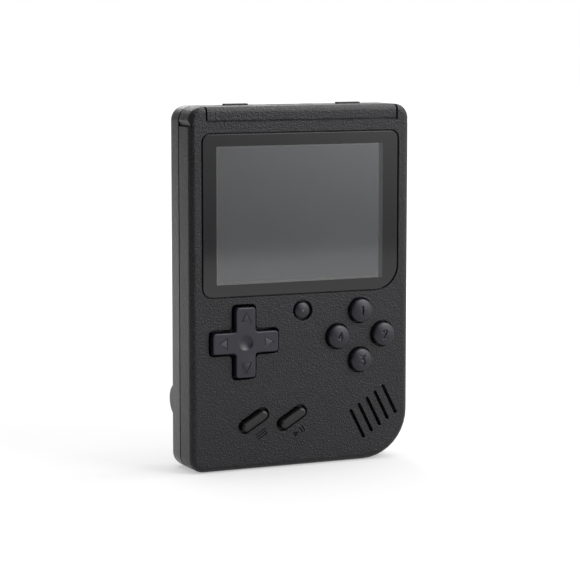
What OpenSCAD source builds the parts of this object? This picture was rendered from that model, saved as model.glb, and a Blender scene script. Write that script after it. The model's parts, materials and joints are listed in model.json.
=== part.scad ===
// Handheld game console: two moulded shells round a display, a board, rubber keypads and a battery.
// The console stands on its lower edge, faces -Y, and its origin is the middle of that edge.

/* [Case] */
// Width of the case
body_w = 82.8; // [82:0.1:92]
// Height of the case
body_h = 125; // [123:1:140]
// Thickness of the case, without the finger ridge on the back
body_d = 20.5; // [19.5:0.5:24]
// Depth of the front shell, from the face to the seam
front_depth = 10; // [9.8:0.2:12.4]
// Thickness of the side walls
wall = 2; // [1.6:0.1:2.2]
// Thickness of the front face
face_wall = 2; // [1.8:0.1:2.4]
// Thickness of the back face
back_wall = 1.8; // [1.6:0.1:2.2]
// Radius of the three small corners
corner_r = 5; // [4:0.5:7]
// Radius of the large lower right corner
big_corner_r = 17; // [12:1:19]
// Rounding of the edge round the face
face_round = 2.2; // [1.2:0.1:2.6]
// Rounding of the edge round the back
back_round = 4; // [2:0.1:4.4]
// Height of the finger ridge above the back
ridge_h = 3.1; // [1.5:0.1:3.5]
// Height of the finger ridge's middle above the lower edge
ridge_z = 23.4; // [16:0.1:24]

/* [Screen] */
// Width of the screen lens
lens_w = 73.5; // [70:0.5:74]
// Height of the screen lens
lens_h = 55.3; // [53:0.1:56]
// Thickness of the screen lens
lens_t = 0.9; // [0.7:0.05:1]
// Distance from the top of the case to the middle of the lens
lens_drop = 37; // [36:0.1:40]
// Width of the display's picture area
picture_w = 60.96; // [56:0.01:61.5]
// Height of the display's picture area
picture_h = 45.72; // [42:0.01:46.5]

/* [Controls] */
// Distance from the right side to the middle of the four round buttons
action_inset = 19.1; // [18:0.1:20]
// Distance from that middle to each round button
action_reach = 8.7; // [8.4:0.1:9.2]
// Diameter of a round button
action_d = 8.2; // [7:0.1:8.6]
// Distance from the left side to the middle of the direction pad
pad_inset = 19.6; // [18:0.1:20]
// Length of the direction pad across two arms
pad_span = 24.2; // [22:0.1:24.6]
// Width of a direction pad arm
pad_arm_w = 7.2; // [6:0.1:7.6]
// Distance from the middle of the lens down to the direction pad and the round buttons
controls_drop = 43.5; // [43:0.1:44.5]
// Diameter of the reset button
reset_d = 5.7; // [4.6:0.1:6]
// Length of a select or start button
pill_l = 10.6; // [10:0.1:12]
// Width of a select or start button
pill_w = 3.2; // [2.6:0.1:3.4]
// Tilt of the select and start buttons
pill_tilt = 31; // [25:1:35]
// How far a round button stands out of the face
action_proud = 2.6; // [1.8:0.1:3]
// How far the direction pad stands out of the face
pad_proud = 1.9; // [1.5:0.1:2.4]
// How far a button travels when it is pressed
press = 1.2; // [0.8:0.1:1.4]

/* [Speaker] */
// Number of speaker slots
slot_count = 5; // [3:1:5]
// Length of a speaker slot
slot_l = 11.8; // [8:0.1:12]
// Width of a speaker slot
slot_w = 1.15; // [0.7:0.05:1.3]
// Distance between neighbouring speaker slots
slot_pitch = 3.7; // [3:0.1:3.8]
// Diameter of the speaker
speaker_d = 20; // [16:0.5:20.5]

/* [Battery] */
// Length of the battery pack, across the case
battery_l = 53; // [50:0.5:54]
// Width of the battery pack, up the case
battery_w = 34; // [32:0.5:35]
// Thickness of the battery pack
battery_t = 5.7; // [5:0.1:6]
// Thickness of the battery door
door_t = 1.4; // [1.2:0.1:1.6]

/* [Top edge] */
// Length of a sliding knob
knob_l = 8.4; // [8:0.1:10.5]
// Depth of a sliding knob
knob_w = 2.6; // [2.6:0.1:3.4]
// How far a sliding knob stands out of the top
knob_proud = 0.6; // [0.4:0.1:1]
// Travel of the power switch
power_travel = 3; // [2:0.1:3.5]
// Travel of the volume slider
volume_travel = 5; // [3:0.1:6]
// Diameter of the audio and video jack's bore
jack_d = 3.6; // [3.5:0.01:3.7]

/* [Board] */
// Thickness of the circuit board
board_t = 1.2; // [1:0.1:1.6]
// Distance from the inside of the face to the circuit board
board_gap = 6; // [5.8:0.1:6.4]

/* [Hidden] */
$fn = 48;

// Named clearances
fit = 0.1;          // flat faces that lie beside each other
slide_fit = 0.2;    // faces that slide past each other
hole_gap = 0.36;    // round a button in its hole
lens_gap = 0.5;     // round the lens in its pocket
pad_gap = 0.8;      // round the direction pad in its hole
pill_gap = 0.85;    // round a select or start button
screw_gap = 0.04;   // round a screw's thread
through_gap = 0.2;  // round a screw where it passes through

// Planes across the thickness, from the face to the back
front_y = -body_d / 2;
back_y = body_d / 2;
seam_y = front_y + front_depth;
inner_front_y = front_y + face_wall;
inner_back_y = back_y - back_wall;
board_y = inner_front_y + board_gap;
board_back_y = board_y + board_t;

// Case outline
arc_steps = 10;
round_steps = 7;
far = 60;

// Finger ridge section
ridge_r = 5.2;
ridge_blend_r = 1.2;
ridge_blend_steps = 4;
ridge_sink = 0.02;
ridge_foot = 0.3;
ridge_blend_z = sqrt(pow(ridge_r + ridge_blend_r, 2) - pow(ridge_r - ridge_h + ridge_blend_r, 2));
ridge_blend_a = atan2(ridge_r - ridge_h + ridge_blend_r, ridge_blend_z);

// Grooves round the top of the front shell
groove_w = 0.65;
groove_t = 0.8;
groove_drop = 5;
groove_left_inset = 6.1;
groove_right_inset = 4.95;
groove_z = body_h - groove_drop;
groove_left_x = -body_w / 2 + groove_left_inset;
groove_right_x = body_w / 2 - groove_right_inset;
notch_t = 0.8;
notch_h = 1.8;
notch_floor_h = 0.3;
seam_groove_w = 0.55;
seam_groove_t = 0.8;
lip_t = 0.8;
lip_h = 1.2;
lip_root = 1;

// Screen
lens_z = body_h - lens_drop;
lens_corner_r = 2.7;
lens_side_min = 3.2;
lens_edge_min = 2.3;
lens_low_left_r = 3.2;
lens_big_share = 1.71;
tape_t = 0.15;
lens_sink = 0.05;
pocket_t = lens_t + tape_t + lens_sink;
sight_margin = 1.3;
sight_w = picture_w + 2 * sight_margin;
sight_h = picture_h + 2 * sight_margin;
// the lens always borders the window, however large the picture is
lens_full_w = max(lens_w, sight_w + 2 * lens_side_min);
lens_full_h = max(lens_h, sight_h + 2 * lens_edge_min);
lens_big_r = lens_big_share * (lens_full_w - sight_w) / 2;
tape_rim = 0.6;
glass_side = 2.6;
glass_top = 2.8;
glass_foot = 4.6;
glass_t = 1.4;
tray_t = 1.8;
glass_y = inner_front_y + fit;
tray_y = glass_y + glass_t;
tray_back_y = tray_y + tray_t;
glass_w = picture_w + 2 * glass_side;
glass_low_z = lens_z - picture_h / 2 - glass_foot;
glass_high_z = lens_z + picture_h / 2 + glass_top;
lcd_rib_t = 1;
lcd_rib_h = 2.4;
lcd_rib_l = 14;
lcd_rib_x = 22;
lcd_rib_end = 4;
boss_rib_t = 1;
ribbon_w = 22;
ribbon_t = 0.2;
ribbon_run = 7;
ribbon_root = 1.6;
ribbon_slot_t = 1;
ribbon_slot_h = 2;
ribbon_top_y = tray_y + tray_t / 2 - ribbon_t / 2;
ribbon_bend_r = (board_y - ribbon_top_y) / 2;
foam_w = 50;
foam_h = 6;
foam_low_drop = 10;
foam_high_rise = 14;
foam_rows = [lens_z - foam_low_drop, lens_z + foam_high_rise];

// Controls
action_x = body_w / 2 - action_inset;
pad_x = -body_w / 2 + pad_inset;
controls_z = lens_z - controls_drop;
reset_x = 0.3;
reset_drop = 6.1;
reset_z = lens_z - lens_full_h / 2 - reset_drop;
pill_z = 16.95;
select_x = -18.2;
start_x = -3.8;
flange_gap = 0.15;
flange_t = 1;
flange_rim = 1.1;
flange_y = inner_front_y + flange_gap;
stem_d = 5;
sheet_t = 0.8;
dome_stand = 0.8;
dome_h = press + dome_stand;
dome_top_d = 4.6;
dome_foot_d = 7.2;
dome_wall = 0.7;
dome_top_y = board_y - sheet_t - dome_h;
dome_gap = 0.1;
sheet_rim = 1;
sheet_w = dome_foot_d + 2 * sheet_rim;
nub_d = 3.6;
crown_r = 11.5;
rim_r = 0.9;
reset_crown_r = 7.3;
reset_rim_r = 0.6;
rim_lap = 0.01;
pad_round = 1.1;
pad_plate_inset = 0.6;
pad_plate_d = pad_span - 2 * pad_plate_inset;
pad_plate_drop = 1.6;
pad_plate_y = inner_front_y + pad_plate_drop;
pad_plate_t = 1;
pad_dome_reach = 8;
ball_r = 1.6;
ball_gap = 0.05;
ball_y = board_y - ball_r - ball_gap;
pivot_post_d = 4.4;
post_gap = 0.3;
dimple_d = 5.6;
dimple_t = 0.8;
mark_t = 0.25;
mark_w = 0.42;
mark_h = 3;
arrow_w = 4.4;
arrow_h = 3.9;
arrow_edge = 1.4;
legend_t = 0.25;
legend_drop = 5.6;
legend_l = 4.4;
legend_line = 0.4;
legend_pitch = 0.9;
play_l = 2;
play_h = 2.2;
pause_x = [0.7, 1.7];
play_x = -2.4;
reset_proud = 0.3;
reset_gap = 0.72;
reset_rim = 1.5;
pill_proud = 1.8;

// Speaker
slot_tilt = 27.3;
slot_row_tilt = 32.5;
slot_inset = 13.7;
slot_x = body_w / 2 - slot_inset;
slot_z = 17;
gasket_t = 0.4;
gasket_w = 1.2;
basket_rim_t = 0.8;
basket_t = 2.2;
magnet_d = 11;
magnet_t = 2;
speaker_y = inner_front_y + gasket_t;
ring_wall = 1;
ring_h = 2.6;
ring_d = speaker_d + 2 * slide_fit;
cone_t = 0.4;
cone_inset = 1.5;
cone_d = speaker_d - 2 * cone_inset;
seat_t = 0.5;
seat_w = 1;
rim_step = 0.7;
basket_floor_t = 0.6;
dish_r = 60;
dish_t = 0.2;
wire_d = 0.8;
wire_pitch = 1.4;
wire_spare = 2;
wire_l = speaker_d / 2 - magnet_d / 2 + wire_spare;

// Fasteners
boss_d = 4;
rear_boss_d = 4.6;
screw_d = 2;
head_d = 3.6;
head_h = 1.4;
head_recess_d = 4.2;
head_seat_t = 3.1;
head_seat_y = seam_y + head_seat_t;
screw_l = 8;
drive_w = 0.5;
drive_l = 2;
drive_t = 0.7;
screw_inset = 5.8;
screw_above_ridge = 7;
screw_below_glass = 2.6;
screw_x = body_w / 2 - screw_inset;
screw_rows = [ridge_z + ridge_blend_z + screw_above_ridge, glass_low_z - screw_below_glass,
    body_h - screw_inset];
board_screw_l = 4.6;
board_boss_d = 3.6;
board_screw_high_z = glass_high_z + board_boss_d / 2 + fit + lcd_rib_t;
board_screw_low_z = 26;
board_screw_inset = 10.9;
board_screw_left_x = -body_w / 2 + board_screw_inset;
board_screw_low_x = 8;

// Battery bay and door
bay_gap = 0.3;
bay_floor_t = 1.2;
bay_wall = 4.8;
bay_low_z = 5.7;
bay_w = battery_l + 2 * bay_gap;
bay_high_z = bay_low_z + battery_w + 2 * bay_gap;
door_y = back_y - door_t;
battery_y = door_y - slide_fit - battery_t;
bay_floor_y = battery_y - fit;
ledge = 1;
door_w = bay_w + 2 * ledge;
door_overlap = 3;
door_high_z = bay_high_z + door_overlap;
door_low_z = 0.4;
tongue_w = 1;
tongue_t = door_t / 2;
hook_z = 3.2;
hook_t = 3.2;
tab_w = 14;
tab_h = 2;
tab_skin = 0.8;
tab_t = door_t - tab_skin;
bay_rim = 1.6;
bay_low_edge = hook_z + fit;
bay_high_edge = door_high_z + tab_h + bay_rim;

// Battery contacts
contact_x = bay_w / 2 + fit;
contact_z = bay_low_z + bay_gap + battery_w / 2;
contact_pitch = 5;
contact_block_l = 16;
contact_block_t = 3.4;
leaf_w = 1.6;
leaf_l = 1.6;
terminal_w = 3;
terminal_h = 2.4;
terminal_t = 0.3;
terminal_drop = 1.8;
terminal_y = battery_y + terminal_drop;
contact_block_h = terminal_y + terminal_drop - board_back_y;

// Top edge
power_inset = 18.9;
volume_inset = 21.2;
power_x = body_w / 2 - power_inset;
volume_x = -body_w / 2 + volume_inset;
pocket_depth = 0.8;
stem_l = 3;
stem_w = 1.6;
switch_l = 9;
switch_h = 5;
switch_t = 3.6;
switch_gap = 1.6;
switch_high_z = body_h - wall - switch_gap;
knob_y = board_back_y + switch_t / 2;
knob_stem_h = 6;
stem_low_z = body_h - pocket_depth - knob_stem_h;
grip_count = 7;
grip_pitch = 1.1;
grip_w = 0.4;
grip_t = 0.25;
port_x = -3.6;
port_w = 7.6;
port_t = 2.7;
port_wall = 0.3;
port_l = 6.4;
port_sink = 1;
port_opening = 0.5;
tongue_l = 4;
tongue_plate_t = 0.7;
tongue_sink = 0.8;
jack_x = 7.4;
jack_body_w = 6.4;
jack_body_l = 12;
jack_step = 0.6;
jack_collar_d = 5.2;
jack_sink = 0.4;
jack_bore_l = 11;
jack_y = board_back_y + jack_body_w / 2;
port_y = board_back_y + port_t / 2;
// the right board screw stands midway between the jack and the power switch
board_screw_right_x = (jack_x + jack_body_w / 2 + power_x - switch_l / 2) / 2;
board_screw_spots = [[board_screw_left_x, board_screw_high_z], [board_screw_right_x, board_screw_high_z],
    [board_screw_left_x, board_screw_low_z], [board_screw_low_x, board_screw_low_z]];
top_cut_z = body_h - wall - lip_t - 1;

// Board
board_inset = 8.4;
board_drop = 5;
board_side = body_w / 2 - board_inset;
board_low_z = 6;
board_high_z = body_h - board_drop;
board_corner_r = 1.5;
board_big_r = big_corner_r / 2;
pad_disc_t = 0.05;
pad_disc_d = 5;
part_rise = 4;
blob_x = 6;
blob_spot = [blob_x, lens_z + part_rise];
blob_h = 1.6;
blob_r = 15;
memory_inset = 17;
memory_spot = [-board_side + memory_inset, lens_z + part_rise];
memory_size = [12, 18, 1.2];
memory_pins = 16;
memory_pitch = 1;
amplifier_inset = 11;
amplifier_rise = 20;
amplifier_spot = [board_side - amplifier_inset, controls_z + amplifier_rise];
amplifier_size = [4, 5, 1.6];
amplifier_pins = 4;
amplifier_pitch = 1.27;
pin_w = 0.4;
pin_t = 0.35;
pin_l = 1;
chip_lift = 0.1;
crystal_drop = 14;
crystal_spot = [blob_x, lens_z - crystal_drop];
crystal_l = 10;
crystal_w = 4.4;
crystal_t = 2;
tantalum_inset = 7;
tantalum_drop = 20;
tantalum_spot = [-board_side + tantalum_inset, lens_z - tantalum_drop];
tantalum_l = 3.4;
tantalum_w = 2.6;
tantalum_t = 1.6;
tantalum_pitch = 5;
can_inset = 11;
can_pitch = 6;
can_rise = 18;
can_spots = [for (i = [0, 1]) [board_side - can_inset - i * can_pitch, lens_z + can_rise]];
can_d = 5;
can_h = 4.5;

// Shape helpers

// Points of a quarter arc, from the angle start
function quarter(cx, cz, r, start) = [for (i = [0:arc_steps])
    [cx + r * cos(start + 90 * i / arc_steps), cz + r * sin(start + 90 * i / arc_steps)]];

// A rectangle between two corners, with a radius for each of its own corners
module rounded(x0, z0, x1, z1, top_right, top_left, low_left, low_right) {
    polygon(concat(
        quarter(x1 - top_right, z1 - top_right, top_right, 0),
        quarter(x0 + top_left, z1 - top_left, top_left, 90),
        quarter(x0 + low_left, z0 + low_left, low_left, 180),
        quarter(x1 - low_right, z0 + low_right, low_right, 270)));
}

// The case as seen from the front, drawn in by inset
module case_outline(inset = 0) {
    small = corner_r - inset;
    rounded(-body_w / 2 + inset, inset, body_w / 2 - inset, body_h - inset,
        small, small, small, big_corner_r - inset);
}

// A flat shape of X and Z, made solid from y0 back to y1
module slab(y0, y1) {
    translate([0, y1, 0]) rotate([90, 0, 0]) linear_extrude(y1 - y0) children();
}

// A round bar along Y
module bar(x, z, d, y0, y1) {
    translate([x, y1, z]) rotate([90, 0, 0]) cylinder(d = d, h = y1 - y0);
}

// A box between two corners
module block(low, high) {
    translate(low) cube(high - low);
}

// A slot with round ends, flat, lying along X
module stadium(l, w) {
    square([l - w, w], center = true);
    for (side = [-1, 1]) translate([side * (l - w) / 2, 0]) circle(d = w);
}

// A line with round ends through a list of points, flat
module stroke(points, w) {
    for (i = [0:len(points) - 2]) {
        step = points[i + 1] - points[i];
        translate(points[i]) rotate(atan2(step[1], step[0]))
            translate([0, -w / 2]) square([norm(step), w]);
    }
    for (p = points) translate(p) circle(d = w);
}

// The closed case form, rounded round the face and round the back
module case_form(back, back_edge) {
    hull() {
        slab(front_y + face_round, back - back_edge) case_outline();
        for (i = [0:round_steps - 1]) {
            a = 90 * i / round_steps;
            slab(front_y + face_round * (1 - cos(a)), 0) case_outline(face_round * (1 - sin(a)));
            slab(0, back - back_edge * (1 - cos(a))) case_outline(back_edge * (1 - sin(a)));
        }
    }
}

// Section of the finger ridge, as Y and Z: a crown that blends into the back on both sides
ridge_crown_a = 90 - ridge_blend_a;
function blend_arc(side) = [for (i = [0:ridge_blend_steps])
    let (a = 90 - ridge_crown_a * i / ridge_blend_steps)
    [back_y + ridge_blend_r * (1 - sin(a)), ridge_z + side * (ridge_blend_z - ridge_blend_r * cos(a))]];
function crown_arc() = [for (i = [1:2 * arc_steps - 1])
    let (a = ridge_crown_a * (i / arc_steps - 1))
    [back_y + ridge_h - ridge_r + ridge_r * cos(a), ridge_z + ridge_r * sin(a)]];
function reversed(list) = [for (i = [len(list) - 1:-1:0]) list[i]];

// The ridge's section at x, lowered by drop, with both its feet inside the wall
function ridge_ring(x, drop) =
    let (section = concat(blend_arc(-1), crown_arc(), reversed(blend_arc(1))),
        foot_y = back_y - back_round - ridge_foot)
    concat(
        [[x, foot_y, ridge_z - ridge_blend_z]],
        [for (p = section) [x, p[0] - ridge_sink - drop, p[1]]],
        [[x, foot_y, ridge_z + ridge_blend_z]]);

// Half of the ridge's sections, from the side inwards: they come down round the edge of the back
function ridge_half(side) = [for (i = [round_steps:-1:0])
    let (a = 90 * i / round_steps)
    ridge_ring(side * (body_w / 2 - ridge_sink - back_round * (1 - sin(a))), back_round * (1 - cos(a)))];

module ridge() {
    rings = concat(ridge_half(-1), reversed(ridge_half(1)));
    count = len(rings[0]);
    last = len(rings) - 1;
    polyhedron(
        points = [for (ring = rings) each ring],
        faces = concat(
            [[for (j = [0:count - 1]) j]],
            [[for (j = [count - 1:-1:0]) last * count + j]],
            [for (r = [0:last - 1], j = [0:count - 1])
                let (next = (j + 1) % count)
                [r * count + j, (r + 1) * count + j, (r + 1) * count + next, r * count + next]]));
}

module back_form() {
    case_form(back_y, back_round);
    ridge();
}

// Flat shapes of the controls

module cross_outline(span, arm, round_r) {
    offset(r = -round_r) offset(r = 2 * round_r) offset(r = -round_r) {
        square([span, arm], center = true);
        square([arm, span], center = true);
    }
}

module lens_outline(grow = 0) {
    x = lens_full_w / 2 + grow;
    z = lens_full_h / 2 + grow;
    translate([0, lens_z]) rounded(-x, -z, x, z,
        lens_corner_r + grow, lens_corner_r + grow, lens_low_left_r + grow, lens_big_r + grow);
}

module sight_outline(grow = 0) {
    translate([0, lens_z]) square([sight_w + 2 * grow, sight_h + 2 * grow], center = true);
}

module at_pills() {
    for (x = [select_x, start_x]) translate([x, pill_z]) rotate(pill_tilt) children();
}

function action_spot(turn) = [action_x + action_reach * cos(turn), controls_z + action_reach * sin(turn)];
action_turns = [90, 0, -90, 180];
pad_turns = [0, 90, 180, 270];
function pad_dome_spot(turn) = [pad_x + pad_dome_reach * cos(turn), controls_z + pad_dome_reach * sin(turn)];

module speaker_slots() {
    // the row climbs more steeply than the slots lean
    for (i = [0:slot_count - 1]) {
        along = (i - (slot_count - 1) / 2) * slot_pitch;
        translate([slot_x + along * cos(slot_row_tilt), slot_z + along * sin(slot_row_tilt)])
            rotate(90 + slot_tilt) stadium(slot_l, slot_w);
    }
}

// Plain marks beside the select and start buttons: three lines, and a triangle with two bars
module legends() {
    translate([select_x, pill_z]) rotate(pill_tilt) translate([0, -legend_drop])
        for (row = [-1:1]) translate([0, row * legend_pitch]) square([legend_l, legend_line], center = true);
    translate([start_x, pill_z]) rotate(pill_tilt) translate([0, -legend_drop]) {
        polygon([[play_x, -play_h / 2], [play_x, play_h / 2], [play_x + play_l, 0]]);
        for (x = pause_x) translate([x, 0]) square([legend_line, play_h], center = true);
    }
}

// Plain numerals 1 to 4, in a box two units high
numerals = [
    [[[-0.4, 0.6], [0, 1], [0, -1]]],
    [[[-0.5, 0.6], [-0.2, 1], [0.25, 1], [0.5, 0.55], [-0.5, -1], [0.6, -1]]],
    [[[-0.55, 1], [0.55, 1], [-0.1, 0.2], [0.45, 0], [0.55, -0.55], [0.15, -1], [-0.55, -0.85]]],
    [[[0.3, -1], [0.3, 1], [-0.6, -0.35], [0.65, -0.35]]]];

// Cuts through the top wall, shared by both shells

module knob_cuts(x, low, high) {
    half = knob_w / 2 + slide_fit;
    block([x - knob_l / 2 + low - slide_fit, knob_y - half, body_h - pocket_depth],
        [x + knob_l / 2 + high + slide_fit, knob_y + half, body_h + far]);
    block([x - stem_l / 2 + low - slide_fit, knob_y - stem_w / 2 - slide_fit, top_cut_z],
        [x + stem_l / 2 + high + slide_fit, knob_y + stem_w / 2 + slide_fit, body_h + far]);
}

module top_cuts() {
    knob_cuts(power_x, 0, power_travel);
    knob_cuts(volume_x, -volume_travel / 2, volume_travel / 2);
    half_w = port_w / 2 + port_opening;
    half_t = port_t / 2 + port_opening;
    block([port_x - half_w, port_y - half_t, top_cut_z],
        [port_x + half_w, port_y + half_t, body_h + far]);
    translate([jack_x, jack_y, top_cut_z])
        cylinder(d = jack_collar_d + 2 * slide_fit, h = far);
}

// Screw places

module at_shell_screws() {
    for (x = [-screw_x, screw_x], z = screw_rows) translate([x, 0, z]) children();
}

module at_board_screws() {
    for (spot = board_screw_spots) translate([spot[0], 0, spot[1]]) children();
}

// Front shell

module front_frame_ribs() {
    // corner ribs that hold the display in place
    x = glass_w / 2 + fit;
    for (side = [-1, 1]) {
        for (z = [glass_low_z + lcd_rib_end, glass_high_z - lcd_rib_end - lcd_rib_l])
            translate([side * (x + lcd_rib_t / 2) - lcd_rib_t / 2, inner_front_y - fit, z])
                cube([lcd_rib_t, lcd_rib_h + fit, lcd_rib_l]);
        block([side * lcd_rib_x - lcd_rib_l / 2, inner_front_y - fit, glass_high_z + fit],
            [side * lcd_rib_x + lcd_rib_l / 2, inner_front_y + lcd_rib_h, glass_high_z + fit + lcd_rib_t]);
    }
}

module front_bosses() {
    at_shell_screws() {
        bar(0, 0, boss_d, inner_front_y - fit, seam_y);
    }
    // ribs that tie these bosses to the side walls
    rib_y = seam_y - lip_root - fit;
    for (side = [-1, 1], z = screw_rows) {
        inner = side * screw_x;
        outer = side * (body_w / 2 - wall / 2);
        block([min(inner, outer), inner_front_y - fit, z - boss_rib_t / 2],
            [max(inner, outer), rib_y, z + boss_rib_t / 2]);
    }
    at_board_screws() bar(0, 0, board_boss_d, inner_front_y - fit, board_y);
    // wall round the speaker
    difference() {
        bar(slot_x, slot_z, ring_d + 2 * ring_wall, inner_front_y - fit, inner_front_y + ring_h);
        bar(slot_x, slot_z, ring_d, inner_front_y - 2 * fit, inner_front_y + ring_h + 1);
    }
}

module side_notches() {
    for (side = [-1, 1]) mirror([side < 0 ? 1 : 0, 0, 0])
        translate([0, seam_y + 1, groove_z]) rotate([90, 0, 0]) linear_extrude(front_depth + 2)
            polygon([[body_w / 2 + 1, groove_w / 2], [body_w / 2, groove_w / 2],
                [body_w / 2 - notch_t, notch_floor_h - notch_h], [body_w / 2 - notch_t, -notch_h],
                [body_w / 2 + 1, -notch_h]]);
}

module top_grooves() {
    // across the face
    block([groove_left_x - groove_w / 2, front_y - 1, groove_z - groove_w / 2],
        [groove_right_x + groove_w / 2, front_y + groove_t, groove_z + groove_w / 2]);
    // up the face and back over the top
    for (x = [groove_left_x, groove_right_x]) {
        block([x - groove_w / 2, front_y - 1, groove_z - groove_w / 2],
            [x + groove_w / 2, front_y + groove_t, body_h + 1]);
        block([x - groove_w / 2, front_y - 1, body_h - groove_t],
            [x + groove_w / 2, seam_y + 1, body_h + 1]);
        // follows the rounded edge between them
        translate([x - groove_w / 2, 0, 0]) rotate([90, 0, 90]) linear_extrude(groove_w)
            difference() {
                translate([front_y - 1, body_h - face_round]) square([face_round + 1, face_round + 1]);
                translate([front_y + face_round, body_h - face_round]) circle(r = face_round - groove_t);
            }
    }
}

module front_shell() {
    color("#2e2e30") difference() {
        union() {
            difference() {
                intersection() {
                    case_form(back_y, back_round);
                    block([-far, front_y - 1, -1], [far, seam_y, body_h + 1]);
                }
                slab(inner_front_y, seam_y + 1) case_outline(wall);
            }
            slab(seam_y - lip_root, seam_y + lip_h) difference() {
                case_outline(wall - fit);
                case_outline(wall + fit + lip_t);
            }
            front_bosses();
            front_frame_ribs();
        }
        // the lip outside the wall line is taken back where it enters the rear shell
        slab(seam_y, seam_y + lip_h + 1) difference() {
            case_outline(-1);
            case_outline(wall + fit);
        }
        slab(front_y - 1, front_y + pocket_t) lens_outline(lens_gap);
        slab(front_y - 1, inner_front_y + fit / 2) sight_outline();
        slab(front_y - 1, inner_front_y + 1) translate([pad_x, controls_z])
            cross_outline(pad_span + 2 * pad_gap, pad_arm_w + 2 * pad_gap, pad_round + pad_gap / 2);
        for (turn = action_turns) {
            spot = action_spot(turn);
            bar(spot[0], spot[1], action_d + 2 * hole_gap, front_y - 1, inner_front_y + 1);
        }
        bar(reset_x, reset_z, reset_d + 2 * reset_gap, front_y - 1, inner_front_y + 1);
        slab(front_y - 1, inner_front_y + 1)
            at_pills() stadium(pill_l + 2 * pill_gap, pill_w + 2 * pill_gap);
        slab(front_y - 1, inner_front_y + 1) speaker_slots();
        slab(front_y - 1, front_y + legend_t) legends();
        top_grooves();
        side_notches();
        top_cuts();
        at_shell_screws() bar(0, 0, screw_d + 2 * screw_gap, head_seat_y - screw_l - 1, seam_y + 1);
        at_board_screws() bar(0, 0, screw_d + 2 * screw_gap, inner_front_y + 0.5, board_y + 1);
    }
}

// Rear shell

module door_opening() {
    half = door_w / 2 + slide_fit;
    block([-half, door_y - slide_fit, -1], [half, far, door_high_z + slide_fit]);
    block([-half, back_y - hook_t - slide_fit, -1], [half, far, hook_z]);
    for (side = [-1, 1]) {
        x = side * (half - 0.5);
        outer = side * (half + tongue_w);
        block([min(x, outer), door_y - slide_fit, -1],
            [max(x, outer), door_y + tongue_t + slide_fit, door_high_z - 1 + slide_fit]);
    }
    block([-tab_w / 2 - slide_fit, door_y - slide_fit, door_high_z - 1],
        [tab_w / 2 + slide_fit, door_y + tab_t + slide_fit, door_high_z + tab_h + slide_fit]);
}

// Passes the contact block through the bay's floor and opens the bay's side to it
module contact_window() {
    half = contact_block_l / 2 + slide_fit;
    rear_y = board_back_y + contact_block_h + slide_fit;
    block([contact_x - fit, bay_floor_y - bay_floor_t - 1, contact_z - half],
        [contact_x + contact_block_t + slide_fit, rear_y, contact_z + half]);
    block([bay_w / 2 - 1, bay_floor_y, contact_z - half], [contact_x + 1, rear_y, contact_z + half]);
}

module rear_shell() {
    color("#2e2e30") difference() {
        union() {
            difference() {
                intersection() {
                    back_form();
                    block([-far, seam_y, -1], [far, far, body_h + 1]);
                }
                slab(seam_y - 1, inner_back_y) case_outline(wall);
            }
            block([-bay_w / 2 - bay_wall, bay_floor_y - bay_floor_t, bay_low_edge],
                [bay_w / 2 + bay_wall, inner_back_y + fit, bay_high_edge]);
            at_shell_screws() bar(0, 0, rear_boss_d, seam_y, inner_back_y + fit);
        }
        // seam groove
        slab(seam_y - 1, seam_y + seam_groove_w) difference() {
            case_outline(-1);
            case_outline(seam_groove_t);
        }
        // room for the front shell's lip
        slab(seam_y - 1, seam_y + lip_h + fit) difference() {
            case_outline(wall);
            case_outline(wall + lip_t + 2 * fit);
        }
        block([-bay_w / 2, bay_floor_y, bay_low_z], [bay_w / 2, far, bay_high_z]);
        door_opening();
        contact_window();
        top_cuts();
        at_shell_screws() {
            bar(0, 0, screw_d + 2 * through_gap, seam_y - 1, back_y + 1);
            bar(0, 0, head_recess_d, head_seat_y, back_y + 1);
        }
    }
}

module battery_door() {
    color("#2e2e30") {
        intersection() {
            back_form();
            union() {
                block([-door_w / 2, door_y, door_low_z], [door_w / 2, far, door_high_z]);
                block([-door_w / 2, back_y - hook_t, door_low_z], [door_w / 2, far, hook_z - slide_fit]);
            }
        }
        for (side = [-1, 1]) {
            inner = side * (door_w / 2 - 1);
            outer = side * (door_w / 2 + tongue_w);
            block([min(inner, outer), door_y, hook_z + 1],
                [max(inner, outer), door_y + tongue_t, door_high_z - 1]);
        }
        block([-tab_w / 2, door_y, door_high_z - 1], [tab_w / 2, door_y + tab_t, door_high_z + tab_h]);
    }
}

module screw(l) {
    // head seat at the origin, thread towards -Y
    difference() {
        union() {
            bar(0, 0, head_d, 0, head_h);
            bar(0, 0, screw_d, -l, fit);
        }
        for (turn = [0, 90]) translate([0, head_h, 0]) rotate([0, turn, 0])
            cube([drive_l, 2 * drive_t, drive_w], center = true);
    }
}

module shell_screws() {
    color("#5a5a5e") at_shell_screws() translate([0, head_seat_y, 0]) screw(screw_l);
}

// Screen

module screen_lens() {
    color("#1d1e20") slab(front_y + lens_sink, front_y + lens_sink + lens_t) lens_outline();
}

module lens_tape() {
    color("#111111") slab(front_y + lens_sink + lens_t, front_y + pocket_t) difference() {
        lens_outline(-tape_rim);
        sight_outline(tape_rim);
    }
}

module lcd_panel() {
    color("#5d6062") block([-glass_w / 2, glass_y, glass_low_z], [glass_w / 2, tray_y, glass_high_z]);
}

module lcd_backlight() {
    color("#cfd2d4") difference() {
        block([-glass_w / 2, tray_y, glass_low_z], [glass_w / 2, tray_back_y, glass_high_z]);
        block([-ribbon_w / 2 - fit, tray_y + (tray_t - ribbon_slot_t) / 2, glass_low_z - 1],
            [ribbon_w / 2 + fit, tray_y + (tray_t + ribbon_slot_t) / 2, glass_low_z + ribbon_slot_h]);
    }
}

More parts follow.
